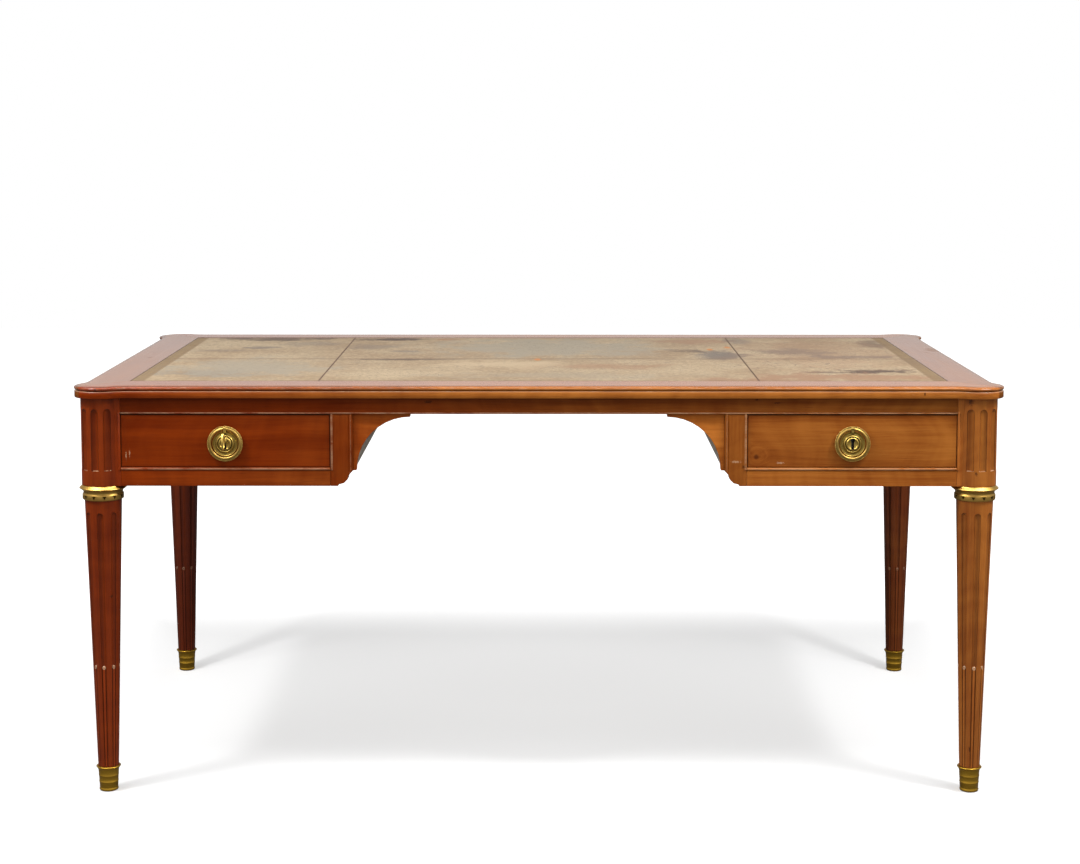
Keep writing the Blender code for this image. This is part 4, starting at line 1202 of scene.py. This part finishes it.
class DESK_OT_drawers(Operator):
    """Drawer fronts and oak trays"""
    bl_idname = "desk.drawers"
    bl_label = "Drawers"

    def execute(self, context):
        width = context.scene.desk_sizes.softening
        wood = mahogany("drawer_wood", "X", -0.10, 0.87, 23.0, knot=(0.396, 0.630),
                        marks=[dark_rebate, front_scars, keyhole_shade])
        oak = oak_lining("tray_oak", "Y", 4.0, "oak")
        for corner in CORNERS:
            front = soften(copy_node("drawer_front_" + corner, "worn_front_" + corner), width)
            settle(front, "drawer_" + corner, "drawer_front_" + corner, wood)
            tray = soften(copy_node("drawer_box_" + corner, "oak_tray_" + corner), 0.0009)
            settle(tray, "drawer_" + corner, "drawer_box_" + corner, oak)
        return {"FINISHED"}


def dark_rebate(wire, place, base):
    """Darker wood along the edges of a drawer front."""
    x, y, z = place
    ends = abs(abs(x) - (FRONT_LOW.x + FRONT_HIGH.x) / 2) - (FRONT_HIGH.x - FRONT_LOW.x) / 2
    tops = abs(z - (FRONT_LOW.z + FRONT_HIGH.z) / 2) - (FRONT_HIGH.z - FRONT_LOW.z) / 2
    edge = ends.most(tops) + wire.grain(x * 120.0, y * 120.0, z * 120.0, 3.0) * 0.0012
    return (edge.ease(-0.0016, 0.0002) * 0.8).blend(base, paint("wood_dark"))


def plate_section():
    return [(0, 0), (0.0230, 0), (0.0233, 0.0004), (0.0233, 0.0040), (0.0231, 0.0048), (0.0226, 0.0051),
            (0.0220, 0.0047), (0.0210, 0.0037), (0.0195, 0.0031), (0.0180, 0.0033), (0.0168, 0.0042),
            (0.0160, 0.0058), (0.0153, 0.0069), (0.0146, 0.0072), (0.0139, 0.0068), (0.0133, 0.0059),
            (0.0127, 0.0057), (0.0121, 0.0062), (0.0113, 0.0075), (0.0104, 0.0081), (0.0096, 0.0082),
            (0.0090, 0.0077), (0.0086, 0.0068), (0.0080, 0.0064), (0, 0.0064)]


# Keyhole: half-width and length of its slot, and radius of its eye
KEY_HALF = 0.0024
KEY_SLOT = 0.0167
KEY_EYE = 0.00385

# Ring pull: radius of its inner torus and of its row of beads, and size of a bead
RING_R = 0.0272
BEADS_AT = 0.0316
BEAD_R = 0.00112


def keyhole_tool(near, far):
    """Round eye over a slot, run through the plate."""
    start = -math.acos(KEY_HALF / KEY_EYE)
    points = [(PULL_X - KEY_HALF, near, KEY_Z - KEY_SLOT), (PULL_X + KEY_HALF, near, KEY_Z - KEY_SLOT)]
    for k in range(17):
        angle = start + (math.pi - 2 * start) * k / 16
        points.append((PULL_X + KEY_EYE * math.cos(angle), near, KEY_Z + KEY_EYE * math.sin(angle)))
    return run_moulding("keyhole", points, (0, far - near, 0))


def keyhole(place):
    """Mask of all that lies inside the outline of a keyhole."""
    across = abs(abs(place[0]) - PULL_X)
    down = KEY_Z - place[2]
    slot = across.ease(KEY_HALF + 0.0003, KEY_HALF) * down.ease(-0.0002, 0.0)
    eye = ((across * across + down * down) ** 0.5).ease(KEY_EYE + 0.00035, KEY_EYE + 0.00005)
    return (slot * down.ease(KEY_SLOT + 0.0003, KEY_SLOT)).most(eye)


def keyhole_shade(wire, place, base):
    """Painted shade: near black on the wood seen through a keyhole."""
    return keyhole(place).blend(base, HOLE_SHADE)


def keyhole_plate():
    """Dished plate of the positive corner with the ear and pin that carry the ring."""
    face = MID_Y + PLATE_Y
    plate = turn("plate", plate_section(), 72, (PULL_X, face, PULL_Z), out=(0, 1, 0))
    ear = 0.0025
    slim = 0.0015
    ring = MID_Y + RING_Y
    lift = PIVOT_Z - 0.0033
    foot = bar("foot", (PULL_X - ear, face + FIT, PULL_Z + 0.0205), (PULL_X + ear, ring + slim, lift))
    carve(plate, soften(foot, 0.0005), "UNION")
    neck = bar("neck", (PULL_X - ear, ring - slim, lift - 0.0015), (PULL_X + ear, ring + slim, PIVOT_Z))
    carve(plate, neck, "UNION")
    for radius, reach in ((0.0019, ear), (0.0011, 0.0066)):
        carve(plate, pin("knuckle", (PULL_X, ring, PIVOT_Z), radius, reach), "UNION")
    carve(plate, keyhole_tool(face - 0.01, face + 0.02))
    return smooth(plate, 40.0)


def beaded_ring(sizes):
    """Ring of the positive corner: an inner torus, a groove and a beaded rim, notched for the ear."""
    centre = (PULL_X, MID_Y + RING_Y, PULL_Z)
    section = []
    for k in range(14):
        angle = math.radians(-150 + 300 * k / 13 + 180)
        section.append((RING_R + 0.0025 * math.cos(angle), 0.0024 * math.sin(angle)))
    section += [(0.0298, -0.0010), (0.0318, -0.0009), (0.0322, 0.0), (0.0318, 0.0009), (0.0298, 0.0010)]
    ring = turn("ring", section, 96, centre, out=(0, 1, 0), closed=True)
    notch = bar("notch", (PULL_X - 0.0029, centre[1] - 0.005, PULL_Z + 0.0123),
                (PULL_X + 0.0029, centre[1] + 0.005, PIVOT_Z + 0.0023))
    carve(ring, notch)
    carve(ring, pin("bore", (PULL_X, centre[1], PIVOT_Z), 0.0015, 0.0070))
    clear()
    spot = (PULL_X + BEADS_AT, centre[1], PULL_Z)
    bpy.ops.mesh.primitive_uv_sphere_add(segments=8, ring_count=6, radius=BEAD_R, location=spot)
    beads = named("beads")
    edit(beads)
    bpy.ops.transform.resize(value=(1, 1.45, 1), center_override=spot)
    round_rows(beads, centre, sizes.beads, (0, 1, 0))
    only(ring)
    beads.select_set(True)
    bpy.ops.object.join()
    edit(ring)
    bpy.ops.mesh.normals_make_consistent(inside=False)
    leave()
    return smooth(ring, 50.0)


class DESK_OT_pulls(Operator):
    """Keyhole plates and the beaded rings that swing round them"""
    bl_idname = "desk.pulls"
    bl_label = "Pulls"

    def execute(self, context):
        plate = keyhole_plate()
        ring = beaded_ring(context.scene.desk_sizes)
        plate_mat = old_brass("plate_brass", 0.78, hole=keyhole)
        ring_mat = old_brass("ring_brass", (0.70, 0.64, 0.66))
        at_corners(plate, "dished_plate_", "escutcheon_", plate_mat, "drawer_")
        at_corners(ring, "beaded_ring_", "ring_", ring_mat, "pull_")
        return {"FINISHED"}


class DESK_OT_locks(Operator):
    """Lock cases, the bolt and the key"""
    bl_idname = "desk.locks"
    bl_label = "Locks and Key"

    def execute(self, context):
        steel = lock_steel("oiled_steel")
        for node in ["lock_" + corner for corner in CORNERS] + ["bolt_fl"]:
            dress(frame["nodes"][node], steel)
        key = soften(copy_node("key_fl", "filed_key_fl"), 0.0009, 3, 40.0)
        # The key's brass is set brighter than the other mounts: painted light, so that its bow, seen edge
        # on, reads as lit
        settle(key, "key_fl", "key_fl", old_brass("key_brass", 1.15))
        return {"FINISHED"}


# Stage

# Lamps on both sides, with their widths and powers, and a long strip that shows in highlights only
SIDE_PLACE = (1.55, -1.00, 2.30)
SIDE_AIM = (0.35, -0.2, 0.35)
SIDE_LAMPS = (("broad_lamp", 1.30, 30.0), ("small_lamp", 0.24, 24.0))
STRIP_PLACE = (0, -0.6, 2.6)
STRIP_AIM = (0, -0.55, 0.7)
STRIP_SIZE = (3.2, 0.3)
STRIP_POWER = 75.0

# Camera that was fitted to the photo: place, degrees down and to the side, and lens
EYE = (0.0157, -4.2244, 1.2503)
LOOK_DOWN = 5.44
LOOK_ASIDE = 0.2
LENS = 70.0
SENSOR = 36.0
LENS_SHIFT = -0.1087


class DESK_OT_stage(Operator):
    """Pale floor, soft lamps, sky and the camera"""
    bl_idname = "desk.stage"
    bl_label = "Stage"

    def execute(self, context):
        clear()
        bpy.ops.mesh.primitive_plane_add(size=14, location=(0, 1, -0.0004))
        floor = named("studio_floor")
        dress(floor, self.floor_finish())
        self.sky(context.scene)
        for side in (-1, 1):
            place, aim = ((side * spot[0], *spot[1:]) for spot in (SIDE_PLACE, SIDE_AIM))
            for name, width, power in SIDE_LAMPS:
                self.lamp(name, place, aim, (width, width), power)
        strip = self.lamp("strip_lamp", STRIP_PLACE, STRIP_AIM, STRIP_SIZE, STRIP_POWER)
        strip.visible_diffuse = False
        self.camera(context.scene)
        context.scene.view_settings.view_transform = "Standard"
        return {"FINISHED"}

    def floor_finish(self):
        """White to the camera with the desk's shadow on it, lightened by a painted pool of light under the
        desk; dim to reflections.
        """
        mat, wire, _, (x, y, _) = new_finish("floor_white")
        seen = wire.add("LightPath", out="Is Camera Ray")
        middle = (x * x * 0.55 + (y - 0.35) * (y - 0.35)) ** 0.5
        far = abs(x).ease(0.82, 1.25).most(y.ease(0.72, 1.30)).most(y.ease(-0.8, -1.6))
        matte = wire.add("BsdfDiffuse", None, {"Color": paint("floor", 0.72)})
        # The glow rises far from the desk to keep the floor white, and in a pool under the desk's middle:
        # painted light that lightens the desk's shadow there
        level = far * 0.61 + middle.ease(0.95, 0.2) * 0.24 + 0.39
        glow = wire.add("Emission", None, {"Color": level, "Strength": 1.0})
        pale = wire.add("AddShader", None, {0: matte, 1: glow})
        bounce = wire.add("BsdfDiffuse", None, {"Color": paint("floor", 0.30)})
        dim = wire.add("BsdfDiffuse", None, {"Color": paint("floor", 0.22)})
        gloss = wire.add("LightPath", out="Is Glossy Ray")
        look = wire.add("MixShader", None, {0: gloss, 1: bounce, 2: dim})
        look = wire.add("MixShader", None, {0: seen, 1: look, 2: pale})
        wire.add("OutputMaterial", None, {"Surface": look})
        return mat

    def sky(self, scene):
        """White to the camera; for light and reflections a band above the horizon, brighter in front."""
        world = bpy.data.worlds.new("studio_sky")
        world.use_nodes = True
        world.node_tree.nodes.clear()
        wire = Wire(world.node_tree)
        way = wire.add("TexCoord", out="Generated")
        back, up = [wire.add("SeparateXYZ", None, {0: way}, axis) for axis in "YZ"]
        band = up.ease(-0.01, 0.03) * (0.76 - up.ease(0.20, 0.8) * 0.46)
        band = band * (0.96 + back.ease(0.4, -0.6) * 0.44)
        band = band * (1.0 - back.ease(0.2, 0.6) * up.ease(0.20, 0.36) * 0.65)
        seen = wire.add("LightPath", out="Is Camera Ray")
        level = band + seen * (1.0 - band)
        glow = wire.add("Background", None, {"Color": level, "Strength": 1.0})
        wire.add("OutputWorld", None, {"Surface": glow})
        scene.world = world

    def lamp(self, name, place, aim, size, power):
        """Rectangular lamp that faces its aim."""
        data = bpy.data.lights.new(name, "AREA")
        data.shape = "RECTANGLE"
        data.size, data.size_y = size
        data.energy = power
        lamp = bpy.data.objects.new(name, data)
        lamp.location = place
        way = [b - a for a, b in zip(place, aim)]
        level = math.hypot(way[0], way[1])
        lamp.rotation_euler = (math.atan2(level, -way[2]), 0, math.atan2(way[1], way[0]) - math.pi / 2)
        bpy.context.scene.collection.objects.link(lamp)
        return lamp

    def camera(self, scene):
        data = bpy.data.cameras.new("view")
        data.lens = LENS
        data.sensor_width = SENSOR
        data.shift_y = LENS_SHIFT
        camera = bpy.data.objects.new("view", data)
        camera.location = EYE
        camera.rotation_euler = (math.radians(90 - LOOK_DOWN), 0, math.radians(LOOK_ASIDE))
        scene.collection.objects.link(camera)
        scene.camera = camera


STEPS = (DESK_OT_stage, DESK_OT_top_boards, DESK_OT_leather, DESK_OT_legs, DESK_OT_capitals,
         DESK_OT_sabots, DESK_OT_frieze, DESK_OT_drawers, DESK_OT_pulls, DESK_OT_locks)


class DESK_PT_steps(Panel):
    """Sidebar list of the desk's pieces"""
    bl_idname = "DESK_PT_steps"
    bl_label = "Partners Desk"
    bl_space_type = "VIEW_3D"
    bl_region_type = "UI"
    bl_category = "Desk"

    def draw(self, context):
        for step in STEPS:
            self.layout.operator(step.bl_idname)
        for group in (context.scene.desk_sizes, context.scene.desk_colours):
            box = self.layout.box()
            for key in group.bl_rna.properties.keys():
                if key not in ("rna_type", "name"):
                    box.prop(group, key)


CLASSES = (DeskSizes, DeskColours, *STEPS, DESK_PT_steps)


def register():
    for item in CLASSES:
        bpy.utils.register_class(item)
    bpy.types.Scene.desk_sizes = PointerProperty(type=DeskSizes)
    bpy.types.Scene.desk_colours = PointerProperty(type=DeskColours)


def unregister():
    del bpy.types.Scene.desk_colours
    del bpy.types.Scene.desk_sizes
    for item in reversed(CLASSES):
        bpy.utils.unregister_class(item)


def main():
    register()
    for step in STEPS:
        group, name = step.bl_idname.split(".")
        getattr(getattr(bpy.ops, group), name)()
    clear()


if __name__ == "__main__":
    main()
